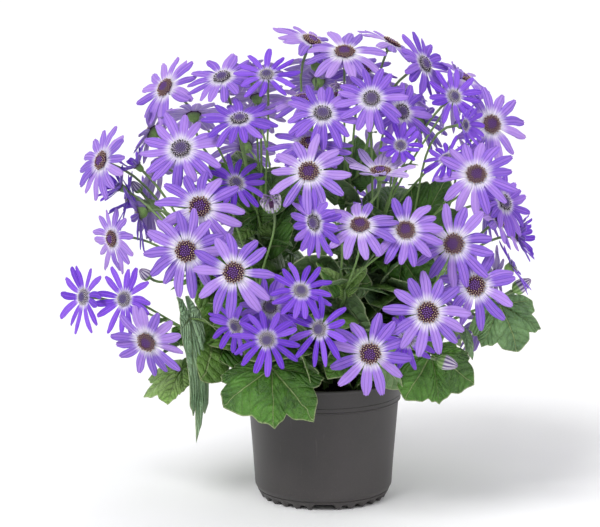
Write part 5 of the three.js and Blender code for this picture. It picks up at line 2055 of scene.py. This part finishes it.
@dataclass
class Studio:
    """The pale floor, the soft lights and the camera."""

    pitch: float = 10.0
    distance: float = 1900.0
    target: tuple[float, float, float] = (-19.6, 0.0, 196.4)
    focal_pixels: float = 2300.0
    frame_width: float = 600.0
    sensor: float = 36.0
    farthest: float = 50.0
    floor_half: float = 60000.0
    sun_width: float = 22.0
    key_power: float = 1.9
    back_power: float = 0.45
    fill_power: float = 7.0
    fill_width: float = 1.2
    sky: float = 0.6

    def floor(self) -> None:
        """Lays the floor."""
        shell = Shell()
        half = self.floor_half
        corners = np.array([[-half, -half, 0], [half, -half, 0], [half, half, 0], [-half, half, 0]])
        shell.add(corners - UP * 0.05, [[0, 1, 2, 3]])
        shell.make("floor", [FLOOR.material()])

    def lamp(self, name: str, kind: str, place: tuple, power: float, aim: tuple) -> bpy.types.Light:
        """Adds a light.

        Args:
            name: Its name.
            kind: AREA for a soft square one, or SUN for one that is even over the whole floor.
            place: Where it is, in metres.
            power: Its power in watts, for the sun on each square metre.
            aim: What it points at.

        Returns:
            The light.
        """
        lamp = bpy.data.lights.new(name, kind)
        lamp.energy = power
        holder = into_scene(name, lamp)
        holder.location = place
        holder.rotation_euler = look(np.array(place), np.array(aim))
        return lamp

    def make(self) -> None:
        """Builds the studio."""
        self.floor()
        key = self.lamp("key_light", "SUN", (-1.0, -1.5, 1.9), self.key_power, (0, 0, 0))
        back = self.lamp("back_light", "SUN", (0.9, 1.6, 1.5), self.back_power, (0, 0, 0))
        key.angle = back.angle = math.radians(self.sun_width)
        fill = self.lamp("fill_light", "AREA", (1.9, -1.3, 0.9), self.fill_power, (0, 0, 0.2))
        fill.shape, fill.size = "SQUARE", self.fill_width
        world = bpy.data.worlds.new("Studio")
        world.use_nodes = True
        sky = world.node_tree.nodes["Background"]
        sky.inputs["Color"].default_value = (1.0, 1.0, 1.0, 1.0)
        sky.inputs["Strength"].default_value = self.sky
        bpy.context.scene.world = world
        bpy.context.scene.view_settings.view_transform = "Standard"
        self.camera()

    def camera(self) -> None:
        """Places the camera."""
        data = bpy.data.cameras.new("camera")
        data.sensor_width = self.sensor
        data.lens = self.focal_pixels / self.frame_width * self.sensor
        data.clip_end = self.farthest
        holder = into_scene("camera", data)
        target = np.array(self.target) * MM
        place = target - direction(180, -self.pitch) * self.distance * MM
        holder.location = place
        holder.rotation_euler = look(place, target)
        bpy.context.scene.camera = holder


def look(place: Array, target: Array) -> tuple[float, float, float]:
    """The turn of a camera or lamp that looks from a place to a target."""
    way = target - place
    flat = math.hypot(way[0], way[1])
    return (math.atan2(flat, -way[2]), 0.0, math.atan2(-way[0], way[1]))


class NodeFinder:
    """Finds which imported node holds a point."""

    def __init__(self, nodes: dict[str, Piece], prefix: str) -> None:
        """Reads the points of the nodes whose names start with a prefix.

        Args:
            nodes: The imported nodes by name.
            prefix: What the names start with.
        """
        self.clouds = {}
        for name, node in nodes.items():
            if name.startswith(prefix):
                cloud = np.zeros(len(node.data.vertices) * 3)
                node.data.vertices.foreach_get("co", cloud)
                self.clouds[name] = cloud.reshape(-1, 3)

    def holding(self, point: Array) -> str:
        """The name of the node with a corner nearest to a point in millimetres."""
        return min(self.clouds, key=lambda name: np.linalg.norm(self.clouds[name] - point * MM, axis=1).min())


def grouped(things: Iterable, key: Callable[[object], str]) -> dict[str, list]:
    """Things gathered by a key, in the order of the keys."""
    gathered: dict[str, list] = {}
    for thing in things:
        gathered.setdefault(key(thing), []).append(thing)
    return dict(sorted(gathered.items()))


def main() -> None:
    """Builds every piece, in order."""
    logging.basicConfig(level=logging.INFO, format="%(name)s: %(message)s")
    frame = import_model()
    nodes = frame["nodes"]
    Studio().make()
    plant = Plant()
    enter(NurseryPot().make(), "pot_plastic", "pot")
    peat = Soil().make()
    crumbs = crumb_tree().run(peat, "crumbs", {"Crumb Radius": 0.0011, "Seed": 11})
    enter(peat, "potting_soil", "soil")
    if crumbs:
        enter(crumbs, "potting_soil")

    greens = Greens(plant)
    stem_finder = NodeFinder(nodes, "leafy_stem")

    def stem_node(stem: str) -> str:
        """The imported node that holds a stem."""
        heading, radius, _ = STEMS[stem]
        return stem_finder.holding(direction(heading, 0) * radius + UP * (ROOT_TOP - ROOT_LENGTH))

    hair = hair_tree()
    for node, names in grouped(STEMS, stem_node).items():
        label = node.removeprefix("leafy_stem_")
        stems, leaves = greens.make(names, label)
        hairs = hair.run(stems, "hairs_" + label, {"Seed": 7})
        enter(stems, "green_stem", node)
        enter(leaves, "green_leaf", node)
        if hairs:
            enter(hairs, "green_stem")

    for seed, (name, row) in enumerate(LEAVES.items()):
        joint, heading, rise, roll, length, width, tone = row
        blade = Blade(np.array(joint, float), heading, rise, roll, length, width, tone=tone, seed=seed)
        enter(LargeLeaf(name, blade).make(), "green_leaf", "leaf_" + name)
        greens.obstacles.append(blade.obstacle())

    flowers = FlowerHeads(plant.heads, *floret_shapes())
    laid = flowers.lay(greens.obstacles)
    log.info("petals laid: %d", sum(len(petals) for petals in laid.values()))
    flower_finder = NodeFinder(nodes, "flowers_")
    tree = floret_tree()
    for node, members in grouped(
        plant.heads, lambda head: flower_finder.holding(head.centre + head.facing * DISC_RISE)
    ).items():
        label = node.removeprefix("flowers_")
        enter(flowers.rays("rays_" + label, members, laid), "violet_petal", node)
        enter(flowers.discs("discs_" + label, members, tree), "violet_petal", node)
    bpy.data.objects.remove(flowers.closed_floret)
    bpy.data.objects.remove(flowers.open_floret)

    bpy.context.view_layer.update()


if __name__ == "__main__":
    main()
